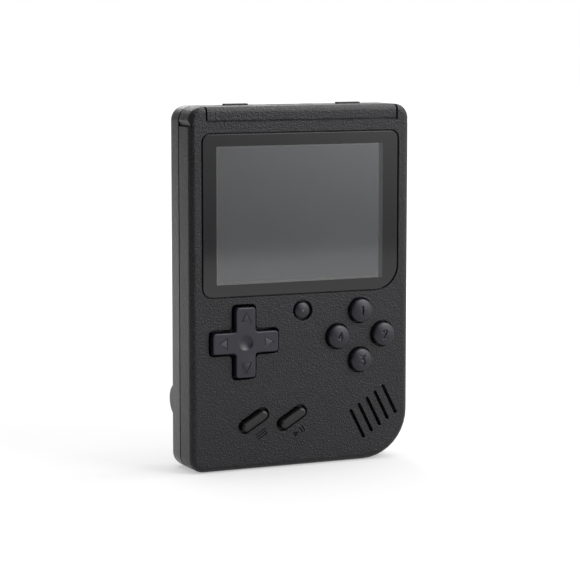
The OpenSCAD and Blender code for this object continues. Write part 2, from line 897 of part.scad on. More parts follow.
module lcd_ribbon() {
    // leaves the tray, turns back under it and lies on the board
    mid_y = ribbon_top_y + ribbon_bend_r;
    color("#b8742c") translate([-ribbon_w / 2, 0, 0]) rotate([90, 0, 90]) linear_extrude(ribbon_w) {
        difference() {
            translate([mid_y, glass_low_z]) circle(r = ribbon_bend_r);
            translate([mid_y, glass_low_z]) circle(r = ribbon_bend_r - ribbon_t);
            translate([ribbon_top_y - ribbon_bend_r, glass_low_z]) square(4 * ribbon_bend_r);
        }
        translate([ribbon_top_y, glass_low_z]) square([ribbon_t, ribbon_root]);
        translate([board_y - ribbon_t, glass_low_z]) square([ribbon_t, ribbon_run]);
    }
}

module lcd_foam_pads() {
    color("#3a3a3a") for (z = foam_rows)
        block([-foam_w / 2, tray_back_y, z], [foam_w / 2, board_y, z + foam_h]);
}

// Direction pad

module pad_arrow() {
    // outlined triangle that points along +X
    difference() {
        polygon([[-arrow_h / 2, -arrow_w / 2], [arrow_h / 2, 0], [-arrow_h / 2, arrow_w / 2]]);
        polygon([[-arrow_h / 2 + mark_w, -arrow_w / 2 + 2 * mark_w], [arrow_h / 2 - 2 * mark_w, 0],
            [-arrow_h / 2 + mark_w, arrow_w / 2 - 2 * mark_w]]);
    }
}

module direction_pad() {
    top_y = front_y - pad_proud;
    dimple_r = (pow(dimple_d / 2, 2) + pow(dimple_t, 2)) / (2 * dimple_t);
    color("#3d3b42") difference() {
        union() {
            slab(top_y, pad_plate_y + fit)
                translate([pad_x, controls_z]) cross_outline(pad_span, pad_arm_w, pad_round);
            bar(pad_x, controls_z, pad_plate_d, pad_plate_y, pad_plate_y + pad_plate_t);
            for (turn = pad_turns)
                bar(pad_dome_spot(turn)[0], pad_dome_spot(turn)[1], nub_d,
                    pad_plate_y, dome_top_y - dome_gap);
            bar(pad_x, controls_z, pivot_post_d, pad_plate_y, ball_y);
        }
        translate([pad_x, ball_y, controls_z]) sphere(r = ball_r + ball_gap);
        translate([pad_x, top_y - dimple_r + dimple_t, controls_z]) sphere(r = dimple_r, $fn = 96);
        for (turn = pad_turns)
            slab(top_y - 1, top_y + mark_t) translate([pad_x, controls_z]) rotate(turn)
                translate([pad_span / 2 - arrow_edge - arrow_h / 2, 0]) pad_arrow();
    }
}

module pad_pivot_ball() {
    color("#b9bbbd") translate([pad_x, ball_y, controls_z]) sphere(r = ball_r);
}

// Rubber keypads: a sheet on the board with a hollow dome under each button

module dome_skin() {
    // the dome's foot is on the sheet at y = 0 and its top towards -Y
    rotate([90, 0, 0]) cylinder(d1 = dome_foot_d, d2 = dome_top_d, h = dome_h);
}

module dome_hollow() {
    foot_d = dome_foot_d - 2 * dome_wall;
    rotate([90, 0, 0]) cylinder(d1 = foot_d, d2 = dome_top_d - dome_wall, h = dome_h / 2);
    translate([0, sheet_t + fit, 0]) rotate([90, 0, 0]) cylinder(d = foot_d, h = sheet_t + 2 * fit);
}

module membrane(spots) {
    difference() {
        union() {
            slab(board_y - sheet_t, board_y) children();
            for (spot = spots) translate([spot[0], board_y - sheet_t, spot[1]]) dome_skin();
        }
        for (spot = spots) translate([spot[0], board_y - sheet_t, spot[1]]) dome_hollow();
    }
}

module pad_membrane() {
    color("#77797c") membrane([for (turn = pad_turns) pad_dome_spot(turn)])
        translate([pad_x, controls_z]) difference() {
            circle(d = 2 * pad_dome_reach + sheet_w);
            circle(d = pivot_post_d + 2 * post_gap);
        }
}

module action_membrane() {
    color("#77797c") membrane([for (turn = action_turns) action_spot(turn)])
        translate([action_x, controls_z]) circle(d = 2 * action_reach + sheet_w);
}

module menu_membrane() {
    color("#77797c") membrane([[select_x, pill_z], [start_x, pill_z]])
        translate([(select_x + start_x) / 2, pill_z])
            square([start_x - select_x + sheet_w, sheet_w], center = true);
}

module reset_membrane() {
    color("#77797c") membrane([[reset_x, reset_z]])
        translate([reset_x, reset_z]) circle(d = dome_foot_d + sheet_rim);
}

// Buttons

module round_cap(d, proud, crown, rim) {
    // profile turned about the button's axis: a crowned top that runs into a rounded rim
    crown_mid = face_wall + proud - crown;
    rim_reach = crown - rim + rim_lap;
    rim_x = d / 2 - rim;
    rim_z = crown_mid + sqrt(rim_reach * rim_reach - rim_x * rim_x);
    translate([0, inner_front_y, 0]) rotate([90, 0, 0]) rotate_extrude() intersection() {
        union() {
            square([crown * rim_x / rim_reach, face_wall + proud + rim]);
            square([d / 2, rim_z]);
            translate([rim_x, rim_z]) circle(r = rim);
        }
        translate([0, crown_mid]) difference() {
            circle(r = crown, $fn = 180);
            translate([-2 * crown, -2 * crown]) square([2 * crown, 4 * crown]);
        }
        translate([0, -1]) square([d, 2 * crown]);
    }
}

module action_button(index) {
    spot = action_spot(action_turns[index]);
    color("#38383b") difference() {
        union() {
            translate([spot[0], 0, spot[1]]) round_cap(action_d, action_proud, crown_r, rim_r);
            bar(spot[0], spot[1], action_d, inner_front_y - fit, flange_y + fit);
            bar(spot[0], spot[1], action_d + 2 * flange_rim, flange_y, flange_y + flange_t);
            bar(spot[0], spot[1], stem_d, flange_y, dome_top_y - dome_gap);
        }
        slab(front_y - action_proud - 1, front_y - action_proud + mark_t + 0.15)
            translate(spot) for (line = numerals[index]) stroke(line * mark_h / 2, mark_w);
    }
}

module button_top() { action_button(0); }
module button_right() { action_button(1); }
module button_bottom() { action_button(2); }
module button_left() { action_button(3); }

module pill_button(x) {
    color("#343437") {
        slab(front_y - pill_proud, flange_y + fit)
            translate([x, pill_z]) rotate(pill_tilt) stadium(pill_l, pill_w);
        slab(flange_y, flange_y + flange_t) translate([x, pill_z]) rotate(pill_tilt)
            stadium(pill_l + 2 * flange_rim, pill_w + 2 * flange_rim);
        bar(x, pill_z, nub_d, flange_y, dome_top_y - dome_gap);
    }
}

module select_button() { pill_button(select_x); }
module start_button() { pill_button(start_x); }

module reset_button() {
    color("#3a3a3d") {
        translate([reset_x, 0, reset_z]) round_cap(reset_d, reset_proud, reset_crown_r, reset_rim_r);
        bar(reset_x, reset_z, reset_d, inner_front_y - fit, flange_y + fit);
        bar(reset_x, reset_z, reset_d + 2 * reset_rim, flange_y, flange_y + flange_t);
        bar(reset_x, reset_z, nub_d, flange_y, dome_top_y - dome_gap);
    }
}

// Top edge

module sliding_knob(x) {
    color("#1c1c1e") difference() {
        union() {
            block([x - knob_l / 2, knob_y - knob_w / 2, body_h - pocket_depth + fit],
                [x + knob_l / 2, knob_y + knob_w / 2, body_h + knob_proud]);
            block([x - stem_l / 2, knob_y - stem_w / 2, stem_low_z],
                [x + stem_l / 2, knob_y + stem_w / 2, body_h]);
        }
        for (i = [0:grip_count - 1])
            translate([x + (i - (grip_count - 1) / 2) * grip_pitch, knob_y, body_h + knob_proud])
                cube([grip_w, knob_w + 1, 2 * grip_t], center = true);
    }
}

module switch_case(x, low, high) {
    half = stem_w / 2 + slide_fit;
    color("#9a9da0") difference() {
        block([x - switch_l / 2 + low, board_back_y, switch_high_z - switch_h],
            [x + switch_l / 2 + high, board_back_y + switch_t, switch_high_z]);
        block([x - stem_l / 2 + low - slide_fit, knob_y - half, stem_low_z - slide_fit],
            [x + stem_l / 2 + high + slide_fit, knob_y + half, body_h]);
    }
}

module power_knob() { sliding_knob(power_x); }
module power_switch() { switch_case(power_x, 0, power_travel); }
module volume_knob() { sliding_knob(volume_x); }
module volume_slider() { switch_case(volume_x, -volume_travel / 2, volume_travel / 2); }

module charge_port_shell() {
    top_z = body_h - port_sink;
    color("#b4b6b8") difference() {
        block([port_x - port_w / 2, board_back_y, top_z - port_l],
            [port_x + port_w / 2, board_back_y + port_t, top_z]);
        block([port_x - port_w / 2 + port_wall, board_back_y + port_wall, top_z - port_l + port_wall],
            [port_x + port_w / 2 - port_wall, board_back_y + port_t - port_wall, top_z + 1]);
    }
}

module charge_port_tongue() {
    top_z = body_h - port_sink;
    color("#1a1a1a") block([port_x - tongue_l / 2, port_y - tongue_plate_t / 2, top_z - port_l + port_wall],
        [port_x + tongue_l / 2, port_y + tongue_plate_t / 2, top_z - tongue_sink]);
}

module av_jack() {
    top_z = body_h - jack_sink;
    body_top_z = body_h - wall - lip_t - jack_step;
    color("#202022") difference() {
        union() {
            block([jack_x - jack_body_w / 2, board_back_y, body_top_z - jack_body_l],
                [jack_x + jack_body_w / 2, board_back_y + jack_body_w, body_top_z]);
            translate([jack_x, jack_y, body_top_z - 1])
                cylinder(d = jack_collar_d, h = top_z - body_top_z + 1);
        }
        translate([jack_x, jack_y, top_z - jack_bore_l]) cylinder(d = jack_d, h = far);
    }
}

// Board and what is on it

module main_board() {
    color("#1f5a34") difference() {
        slab(board_y, board_back_y)
            rounded(-board_side, board_low_z, board_side, board_high_z,
                board_corner_r, board_corner_r, board_corner_r, board_big_r);
        at_board_screws() bar(0, 0, screw_d + 2 * through_gap, board_y - 1, board_back_y + 1);
    }
}

module contact_pads() {
    spots = concat([for (turn = pad_turns) pad_dome_spot(turn)],
        [for (turn = action_turns) action_spot(turn)],
        [[select_x, pill_z], [start_x, pill_z], [reset_x, reset_z]]);
    color("#2a2a2a") for (spot = spots) bar(spot[0], spot[1], pad_disc_d, board_y - pad_disc_t, board_y);
}

module chip_blob() {
    color("#151515") intersection() {
        translate([blob_spot[0], board_back_y + blob_h - blob_r, blob_spot[1]])
            sphere(r = blob_r, $fn = 180);
        block([-far, board_back_y, 0], [far, far, body_h]);
    }
}

module leaded_chip(spot, size, pins, pitch) {
    half = [size[0], size[1]] / 2;
    color("#1b1b1d") {
        block([spot[0] - half[0], board_back_y + chip_lift, spot[1] - half[1]],
            [spot[0] + half[0], board_back_y + size[2], spot[1] + half[1]]);
        for (side = [-1, 1], i = [0:pins - 1]) {
            z = spot[1] + (i - (pins - 1) / 2) * pitch;
            inner = spot[0] + side * (half[0] - pin_w);
            outer = spot[0] + side * (half[0] + pin_l);
            block([min(inner, outer), board_back_y, z - pin_w / 2],
                [max(inner, outer), board_back_y + pin_t, z + pin_w / 2]);
        }
    }
}

module memory_chip() { leaded_chip(memory_spot, memory_size, memory_pins, memory_pitch); }
module amplifier_chip() { leaded_chip(amplifier_spot, amplifier_size, amplifier_pins, amplifier_pitch); }

module crystal() {
    color("#c2c4c6") slab(board_back_y, board_back_y + crystal_t)
        translate(crystal_spot) stadium(crystal_l, crystal_w);
}

module capacitors() {
    color("#6d5a2e") {
        for (i = [0:2])
            translate([tantalum_spot[0], board_back_y, tantalum_spot[1] + i * tantalum_pitch])
                cube([tantalum_l, tantalum_t, tantalum_w]);
        for (spot = can_spots) bar(spot[0], spot[1], can_d, board_back_y, board_back_y + can_h);
    }
}

module board_screws() {
    color("#8c8c90") at_board_screws() translate([0, board_back_y, 0]) screw(board_screw_l);
}

// Speaker

module speaker_gasket() {
    color("#1a1a1a") difference() {
        bar(slot_x, slot_z, speaker_d, inner_front_y, speaker_y);
        bar(slot_x, slot_z, speaker_d - 2 * gasket_w, inner_front_y - 1, speaker_y + 1);
    }
}

module speaker_basket() {
    seat_y = speaker_y + seat_t;
    color("#6b6d70") difference() {
        union() {
            bar(slot_x, slot_z, speaker_d, speaker_y, speaker_y + basket_rim_t);
            frustum(speaker_d - 2 * rim_step, magnet_d + 2 * seat_w, speaker_y, speaker_y + basket_t);
        }
        bar(slot_x, slot_z, cone_d + 2 * fit, speaker_y - 1, seat_y);
        frustum(cone_d - 2 * seat_w, magnet_d, seat_y - fit, speaker_y + basket_t - basket_floor_t);
    }
}

// A cone along Y on the speaker's axis
module frustum(front_d, rear_d, y0, y1) {
    translate([slot_x, y1, slot_z]) rotate([90, 0, 0]) cylinder(d1 = rear_d, d2 = front_d, h = y1 - y0);
}

module speaker_cone() {
    // a shallow dish with its rim on the basket's step
    front = speaker_y + seat_t - cone_t;
    color("#202020") difference() {
        bar(slot_x, slot_z, cone_d, front, speaker_y + seat_t);
        translate([slot_x, front + dish_t - dish_r, slot_z]) sphere(r = dish_r, $fn = 180);
    }
}

module speaker_magnet() {
    color("#a9abad") bar(slot_x, slot_z, magnet_d, speaker_y + basket_t, speaker_y + basket_t + magnet_t);
}

module wire_run(x) {
    start_y = speaker_y + basket_t + magnet_t / 2;
    low_z = slot_z + magnet_d / 2;
    translate([x, start_y, low_z]) cylinder(d = wire_d, h = wire_l);
    translate([x, start_y, low_z + wire_l]) sphere(d = wire_d);
    bar(x, low_z + wire_l, wire_d, start_y, board_y);
}

module speaker_wires() {
    color("#a02020") for (side = [-1, 1]) wire_run(slot_x + side * wire_pitch / 2);
}

// Battery

module battery() {
    color("#c9ccd0") difference() {
        block([-battery_l / 2, battery_y, bay_low_z + bay_gap],
            [battery_l / 2, battery_y + battery_t, bay_low_z + bay_gap + battery_w]);
        for (i = [-1:1]) terminal_pocket(i);
    }
}

module terminal_pocket(i) {
    z = contact_z + i * contact_pitch;
    block([battery_l / 2 - terminal_t, terminal_y - terminal_h / 2, z - terminal_w / 2],
        [battery_l / 2 + 1, terminal_y + terminal_h / 2, z + terminal_w / 2]);
}

module battery_terminals() {
    color("#d0a838") intersection() {
        for (i = [-1:1]) terminal_pocket(i);
        block([0, -far, 0], [battery_l / 2, far, body_h]);
    }
}

module contact_block() {
    color("#e4e4e0") block([contact_x, board_back_y, contact_z - contact_block_l / 2],
        [contact_x + contact_block_t, board_back_y + contact_block_h, contact_z + contact_block_l / 2]);
}

module battery_contacts() {
    // sprung leaves, one against each terminal
    color("#d0a838") for (i = [-1:1]) {
        z = contact_z + i * contact_pitch;
        block([battery_l / 2, terminal_y - leaf_l / 2, z - leaf_w / 2],
            [contact_x, terminal_y + leaf_l / 2, z + leaf_w / 2]);
    }
}

front_shell();
rear_shell();
battery_door();
shell_screws();
screen_lens();
lens_tape();
lcd_panel();
lcd_backlight();
lcd_ribbon();
lcd_foam_pads();
direction_pad();
pad_pivot_ball();
pad_membrane();
button_top();
button_right();
button_bottom();
button_left();
action_membrane();
select_button();
start_button();
menu_membrane();
reset_button();
reset_membrane();
power_knob();
power_switch();
volume_knob();
volume_slider();
main_board();
contact_pads();
chip_blob();
memory_chip();
amplifier_chip();
crystal();
capacitors();
board_screws();
charge_port_shell();
charge_port_tongue();
av_jack();
speaker_gasket();
speaker_basket();
speaker_cone();
speaker_magnet();
speaker_wires();
battery();
battery_terminals();
contact_block();
battery_contacts();
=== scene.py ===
"""Looks of a handheld game console: its mouldings, finishes, camera and light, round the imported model."""
import json
import math

import bmesh
import bpy
from mathutils import Matrix, Vector


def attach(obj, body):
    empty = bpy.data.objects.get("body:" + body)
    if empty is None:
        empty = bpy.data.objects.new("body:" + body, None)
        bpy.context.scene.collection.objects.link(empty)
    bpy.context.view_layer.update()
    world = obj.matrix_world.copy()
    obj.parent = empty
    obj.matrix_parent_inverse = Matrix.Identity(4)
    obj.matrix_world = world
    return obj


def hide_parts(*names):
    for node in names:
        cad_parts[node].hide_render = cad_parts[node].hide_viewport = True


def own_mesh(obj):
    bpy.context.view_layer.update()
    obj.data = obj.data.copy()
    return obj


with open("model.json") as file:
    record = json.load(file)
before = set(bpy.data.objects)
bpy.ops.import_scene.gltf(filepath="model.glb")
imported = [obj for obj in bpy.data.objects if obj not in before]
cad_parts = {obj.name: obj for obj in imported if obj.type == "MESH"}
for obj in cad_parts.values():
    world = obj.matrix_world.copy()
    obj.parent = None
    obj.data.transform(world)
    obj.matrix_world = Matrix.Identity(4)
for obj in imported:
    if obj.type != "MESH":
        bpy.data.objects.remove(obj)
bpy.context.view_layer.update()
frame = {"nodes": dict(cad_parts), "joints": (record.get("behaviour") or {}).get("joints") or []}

MM = 0.001


def span(points):
    """Low and high corner of the box round some points."""
    low = Vector([min(point[axis] for point in points) for axis in range(3)])
    high = Vector([max(point[axis] for point in points) for axis in range(3)])
    return low, high


def extent(node):
    """Low and high corner of a CAD node, in millimetres."""
    return span([corner.co / MM for corner in frame["nodes"][node].data.vertices])


def centre(node):
    """Middle of the box round a CAD node, in millimetres."""
    low, high = extent(node)
    return (low + high) / 2


# Sizes and places of the console, in millimetres, from its solids
shell_low, shell_high = extent("front_shell")
lens_low, lens_high = extent("screen_lens")
CASE_W = shell_high.x - shell_low.x
CASE_H = shell_high.z
FRONT_Y = shell_low.y
BACK_Y = -FRONT_Y
SEAM_Y = extent("rear_shell")[0].y
LENS_Z = (lens_low.z + lens_high.z) / 2
PAD_TOP_Y = extent("direction_pad")[0].y
PILL_TOP_Y = extent("select_button")[0].y
KNOB_TOP_Z = extent("power_knob")[1].z
PORT_TOP_Z = extent("charge_port_shell")[1].z
JACK_TOP_Z = extent("av_jack")[1].z

# Sizes that the solids are drawn with, and of what is printed, in millimetres
CORNER_R = 5.0
BIG_CORNER_R = 17.0
FACE_ROUND = 2.2
BACK_ROUND = 4.0
PICTURE_SIZE = (60.96, 45.72)
WINDOW_SIDES = (-31.8, 31.0)
WINDOW_H = 47.1
OPENING_SIDES = (-31.4, 29.9)
PRINT_DEPTH = 2.0
SLOT_SPOT = (27.7, 17.0)
SLOT_REACH = 11.0
# Where the engraved legends lie, whose marks get painted shade
LEGEND_SPOTS = ((-15.3, 12.15), (-0.9, 12.15))
LEGEND_REACH = 3.4
LEGEND_DEPTH = (0.06, 1.0)
SCREW_HEAD_D = 3.6
SCREW_HEAD_H = 1.4
SCREW_SHAFT_D = 2.0
SCREW_CROSS = (2.0, 0.5, 0.7)
RIBBON_LINE = 0.25
BATTERY_BAND_X = 22.0

# Keypads, in millimetres. The shoulder's points are out from the dome's top edge and down from it
SHEET_T = 0.8
DOME_FOOT_D = 7.2
DOME_TOP_D = 4.6
DOME_SHOULDER = ((-0.3, 0.0), (0.0, 0.1), (0.13, 0.27))
DOME_WALL = 0.7
DOME_STEPS = 40
PAD_DOME_REACH = 8.0
PAD_DOME_ROOM = 0.14
PAD_DOMES = {
    "up": (0, 1, "pad_up_down"),
    "down": (0, -1, "pad_up_down"),
    "left": (-1, 0, "pad_left_right"),
    "right": (1, 0, "pad_left_right"),
}
KEYPAD_BUTTONS = {
    "action": ("button_top", "button_right", "button_bottom", "button_left"),
    "menu": ("select_button", "start_button"),
    "reset": ("reset_button",),
}

# Screws: the dome is a share of the head's diameter, root of its height, tip of the shaft's diameter
HEAD_DOME_SHARE = 0.85
ROOT_SHARE = 0.3
TIP_SHARE = 0.4
TIP_END_SHARE = 0.25
HEAD_SIDES = 40
SHAFT_SIDES = 24

# Roundings of edges, in millimetres
SEAM_EDGE = 0.18
SLOT_EDGE = 0.16
LENS_SEAT_EDGE = 0.12
HOLE_EDGE = 0.32
GROOVE_EDGE = 0.07
REAR_EDGE = 0.15
LENS_RIM = 0.14
PAD_RIM = 0.4
PILL_RIM = 1.0
KNOB_RIM = 0.1
PORT_RIM = 0.07
JACK_RIM = 0.2

# How near a point has to lie to be on the skin, at a level, at the seam, on the face, by the lens
# or in the same place, in millimetres
SKIN_SLACK = 0.09
LEVEL_SLACK = 0.02
SEAM_SLACK = 0.1
FACE_SLACK = 0.05
LENS_SLACK = 1.0
JOIN_SLACK = 0.0005

# What tells a piece's outer wall from its front and from an engraved mark
WALL_SLOPE = 0.3
MARK_DEPTH = 1.0

# Angles between faces, in degrees
FLAT_ANGLE = 0.6
SHARP_ANGLE = 30.0
SMOOTH_ANGLE = 34.0
ROUND_ANGLE = 40.0

# How much the larger faces decide the shading, 50 being not at all
FLAT_WEIGHT = 80

Y_AXIS = 1
Z_AXIS = 2


class Socket:
    """A node's output. Sums, products and comparisons of sockets add Math nodes to the same tree."""

    def __init__(self, nodes, socket):
        self.nodes = nodes
        self.socket = socket

    def maths(self, operation, *others):
        terms = dict(enumerate((self, *others)))
        return self.nodes.node("ShaderNodeMath", {"operation": operation}, terms)

    def __add__(self, other):
        return self.maths("ADD", other)

    __radd__ = __add__

    def __sub__(self, other):
        return self.maths("SUBTRACT", other)

    def __rsub__(self, other):
        return self.nodes.node("ShaderNodeMath", {"operation": "SUBTRACT"}, {0: other, 1: self})

    def __mul__(self, other):
        return self.maths("MULTIPLY", other)

    __rmul__ = __mul__

    def __lt__(self, other):
        return self.maths("LESS_THAN", other)

    def __gt__(self, other):
        return self.maths("GREATER_THAN", other)

    def __abs__(self):
        return self.maths("ABSOLUTE")


class Nodes:
    """A node tree that is written as Python."""

    def __init__(self, tree):
        self.tree = tree

    def node(self, kind, settings=None, sockets=None, output=0):
        """A node of that type, with its settings and then the values or links of its sockets."""
        made = self.tree.nodes.new(kind)
        for key, value in (settings or {}).items():
            if key == "stops":
                set_stops(made.color_ramp, value)
            else:
                setattr(made, key, value)
        for key, value in (sockets or {}).items():
            for one in value if isinstance(value, list) else [value]:
                if isinstance(one, Socket):
                    self.tree.links.new(one.socket, made.inputs[key])
                else:
                    made.inputs[key].default_value = one
        return Socket(self, made.outputs[output]) if made.outputs else None

    def eased(self, value, start, end):
        """0 up to start, 1 from end on, and a smooth step between them."""
        return self.node("ShaderNodeMapRange", {"interpolation_type": "SMOOTHSTEP"},
                         {"Value": value, "From Min": start, "From Max": end})


def set_stops(ramp, stops):
    """Gives a colour ramp its two (position, colour) stops."""
    for element, (position, colour) in zip(ramp.elements, stops):
        element.position = position
        element.color = colour


def grey(level):
    return (level, level, level, 1.0)


class Finish(Nodes):
    """A material on Object coordinates."""

    def __init__(self, name):
        self.material = bpy.data.materials.new(name)
        self.material.use_nodes = True
        super().__init__(self.material.node_tree)
        self.tree.nodes.clear()
        self.place = self.node("ShaderNodeTexCoord", output="Object")

    def noise(self, size_mm, detail, place=None):
        """Smooth noise, about 0 to 1, with lumps of that size."""
        return self.node("ShaderNodeTexNoise", None, {
            "Vector": place or self.place, "Scale": 1.0 / (size_mm * MM), "Detail": detail})

    def cells(self, size_mm):
        """Distance from the middles of soft cells of that size."""
        return self.node("ShaderNodeTexVoronoi", {"feature": "SMOOTH_F1"}, {
            "Vector": self.place, "Scale": 1.0 / (size_mm * MM), "Smoothness": 0.6})

    def stretched(self, x, y, z):
        """Object coordinates multiplied along each axis."""
        return self.node("ShaderNodeMapping", None, {"Vector": self.place, "Scale": (x, y, z)})

    def part(self, axis):
        """One Object coordinate, in millimetres."""
        along = self.node("ShaderNodeSeparateXYZ", None, {0: self.place}, output=axis)
        return along * (1.0 / MM)

    def ramp(self, factor, *stops):
        """A colour that runs from one (position, colour) stop to the other."""
        return self.node("ShaderNodeValToRGB", {"stops": stops}, {0: factor})

    def mixed(self, factor, first, second):
        """A colour between two colours."""
        sockets = {0: factor, 6: first, 7: second}
        return self.node("ShaderNodeMix", {"data_type": "RGBA"}, sockets, output=2)

    def inside(self, sides, middle_z, height):
        """1 inside an upright rectangle between two sides, 0 outside it."""
        across = (self.part("X") > sides[0]) * (self.part("X") < sides[1])
        up = abs(self.part("Z") - middle_z) < height / 2
        return across * up

    def bump(self, height, depth_mm):
        """A surface that is raised by that height, 1 being that depth."""
        return self.node("ShaderNodeBump", None, {"Height": height, "Distance": depth_mm * MM})

    def principled(self, sockets):
        return self.node("ShaderNodeBsdfPrincipled", None, sockets)

    def finished(self, shader):
        self.node("ShaderNodeOutputMaterial", None, {"Surface": shader})
        return self.material


# Finishes

def grained_plastic(name, roughness, shine, depth_mm):
    """Black moulded plastic with the fine leathery grain of a spark-eroded mould, and painted shade that
    darkens the engraved legends.
    """
    look = Finish(name)
    pebble = look.cells(size_mm=0.62)
    crease = look.noise(size_mm=0.34, detail=3.0)
    grain = pebble * 0.6 + crease * 0.55
    cloud = look.noise(size_mm=14.0, detail=3.0)
    colour = look.ramp(grain + (cloud - 0.5) * 0.25,
                       (0.3, (0.002, 0.002, 0.0035, 1.0)), (0.75, (0.018, 0.018, 0.021, 1.0)))
    legend = look.inside((LEGEND_SPOTS[0][0] - LEGEND_REACH, LEGEND_SPOTS[1][0] + LEGEND_REACH),
                         LEGEND_SPOTS[0][1], 2 * LEGEND_REACH)
    sunk = look.part("Y") - FRONT_Y
    # painted shade: inside the engraved legend marks the colour goes near black and the roughness rises
    legend_painted_shade = legend * (sunk > LEGEND_DEPTH[0]) * (sunk < LEGEND_DEPTH[1])
    return look.finished(look.principled({
        "Base Color": look.mixed(legend_painted_shade, colour, grey(0.001)),
        "Roughness": roughness + legend_painted_shade * 0.5 + (crease - 0.5) * 0.22 + (cloud - 0.5) * 0.06,
        "Specular IOR Level": shine,
        "Normal": look.bump(grain, depth_mm)}))


def satin_plastic(name, dark, light, roughness, shine=0.5):
    """Smooth moulded plastic with a very fine matt skin."""
    look = Finish(name)
    skin = look.noise(size_mm=0.11, detail=2.0)
    cloud = look.noise(size_mm=5.0, detail=3.0)
    return look.finished(look.principled({
        "Base Color": look.mixed(cloud, dark, light),
        "Roughness": roughness + (skin - 0.5) * 0.16 + (cloud - 0.5) * 0.08,
        "Specular IOR Level": shine,
        "Normal": look.bump(skin, depth_mm=0.006)}))


def printed_lens():
    """Clear acrylic sheet, printed black round the window and, behind, grey round the picture.

    The print shows from outside, and close to the window it lets light out again from the display.
    """
    look = Finish("printed_lens")
    front = look.part("Y") < (lens_low.y + lens_high.y) / 2
    window = look.inside(WINDOW_SIDES, LENS_Z, WINDOW_H)
    opening = look.inside(OPENING_SIDES, LENS_Z, CASE_H)
    behind = look.node("ShaderNodeNewGeometry", output="Backfacing")
    inward = abs(front - behind)
    open_print = 1.0 - inward * (1.0 - front * window - (1.0 - front) * opening)
    wide = WINDOW_SIDES[0] - PRINT_DEPTH, WINDOW_SIDES[1] + PRINT_DEPTH
    clear = look.inside(wide, LENS_Z, WINDOW_H + 2 * PRINT_DEPTH) * open_print
    haze = look.noise(size_mm=9.0, detail=3.0)
    black = look.mixed(haze, (0.0025, 0.0025, 0.004, 1.0), (0.0042, 0.0042, 0.0065, 1.0))
    border = look.principled({
        "Base Color": look.mixed(front, grey(0.06), black),
        "Roughness": 0.05 + haze * 0.04,
        "IOR": 1.49})
    pane = look.node("ShaderNodeBsdfTransparent", None, {"Color": grey(0.97)})
    return look.finished(look.node("ShaderNodeMixShader", None, {0: clear, 1: border, 2: pane}))


def display_glass():
    """Switched-off display: grey cells under glass that mirrors the room, in a plain dark margin."""
    look = Finish("display_glass")
    picture = look.inside((-PICTURE_SIZE[0] / 2, PICTURE_SIZE[0] / 2), LENS_Z, PICTURE_SIZE[1])
    cloud = look.noise(size_mm=26.0, detail=2.0)
    cells = look.mixed(cloud, (0.0225, 0.0275, 0.033, 1.0), (0.0285, 0.031, 0.037, 1.0))
    return look.finished(look.principled({
        "Base Color": look.mixed(picture, grey(0.05), cells),
        "Roughness": 0.06 + cloud * 0.03,
        "IOR": 1.8,
        "Specular IOR Level": 0.7}))


def brushed_metal(name, dark, light, roughness, along=(1.0, 1.0, 1.0)):
    """Bare or plated metal with faint tool marks."""
    look = Finish(name)
    marks = look.noise(size_mm=0.5, detail=4.0, place=look.stretched(*along))
    return look.finished(look.principled({
        "Base Color": look.mixed(marks, dark, light),
        "Metallic": 1.0,
        "Roughness": roughness + (marks - 0.5) * 0.2,
        "Normal": look.bump(marks, depth_mm=0.004)}))


def soft_rubber(name, dark, light, grain_mm, depth_mm):
    """Matt rubber or foam."""
    look = Finish(name)
    pores = look.cells(grain_mm)
    cloud = look.noise(size_mm=3.0, detail=3.0)
    return look.finished(look.principled({
        "Base Color": look.mixed(pores * 0.5 + cloud * 0.5, dark, light),
        "Roughness": 0.72 + (cloud - 0.5) * 0.15,
        "Normal": look.bump(pores, depth_mm)}))


def printed_board():
    """Green lacquered board with copper tracks under the lacquer."""
    look = Finish("printed_board")
    runs = look.node("ShaderNodeTexBrick", {"offset": 0.37, "squash": 0.6, "squash_frequency": 3}, {
        "Vector": look.node("ShaderNodeMapping", None, {
            "Vector": look.place, "Rotation": (math.pi / 2, 0.0, 0.0)}),
        "Scale": 140.0, "Mortar Size": 0.045, "Brick Width": 0.9, "Row Height": 0.22},
        output="Fac")
    cloud = look.noise(size_mm=2.0, detail=3.0)
    lacquer = look.mixed(cloud, (0.006, 0.055, 0.018, 1.0), (0.009, 0.075, 0.026, 1.0))
    return look.finished(look.principled({
        "Base Color": look.mixed(runs, lacquer, (0.02, 0.13, 0.05, 1.0)),
        "Roughness": 0.32 + cloud * 0.1,
        "Normal": look.bump(runs, depth_mm=0.02)}))


def ribbon_film():
    """Amber film with fine copper lines along it."""
    look = Finish("ribbon_film")
    stripe = look.part("X").maths("PINGPONG", RIBBON_LINE) * (1.0 / RIBBON_LINE)
    cloud = look.noise(size_mm=1.5, detail=2.0)
    lines = stripe > 0.5
    return look.finished(look.principled({
        "Base Color": look.mixed(lines, (0.33, 0.12, 0.02, 1.0), (0.45, 0.2, 0.06, 1.0)),
        "Roughness": 0.28 + cloud * 0.15,
        "Normal": look.bump(stripe, depth_mm=0.01)}))


def paper_cone():
    """Pressed black paper."""
    look = Finish("paper_cone")
    fibres = look.noise(size_mm=0.35, detail=4.0, place=look.stretched(1.0, 1.0, 3.0))
    return look.finished(look.principled({
        "Base Color": look.mixed(fibres, grey(0.008), grey(0.022)),
        "Roughness": 0.75 + (fibres - 0.5) * 0.2,
        "Normal": look.bump(fibres, depth_mm=0.05)}))


def battery_wrap():
    """Pale heat-shrunk film over a flat cell, with a grey band at each end."""
    look = Finish("battery_wrap")
    folds = look.noise(size_mm=4.0, detail=3.0, place=look.stretched(0.4, 1.0, 1.6))
    band = abs(look.part("X")) > BATTERY_BAND_X
    pale = look.mixed(folds, (0.5, 0.52, 0.54, 1.0), (0.6, 0.62, 0.64, 1.0))
    return look.finished(look.principled({
        "Base Color": look.mixed(band, pale, (0.08, 0.085, 0.09, 1.0)),
        "Roughness": 0.35 + (folds - 0.5) * 0.2,
        "Normal": look.bump(folds, depth_mm=0.12)}))


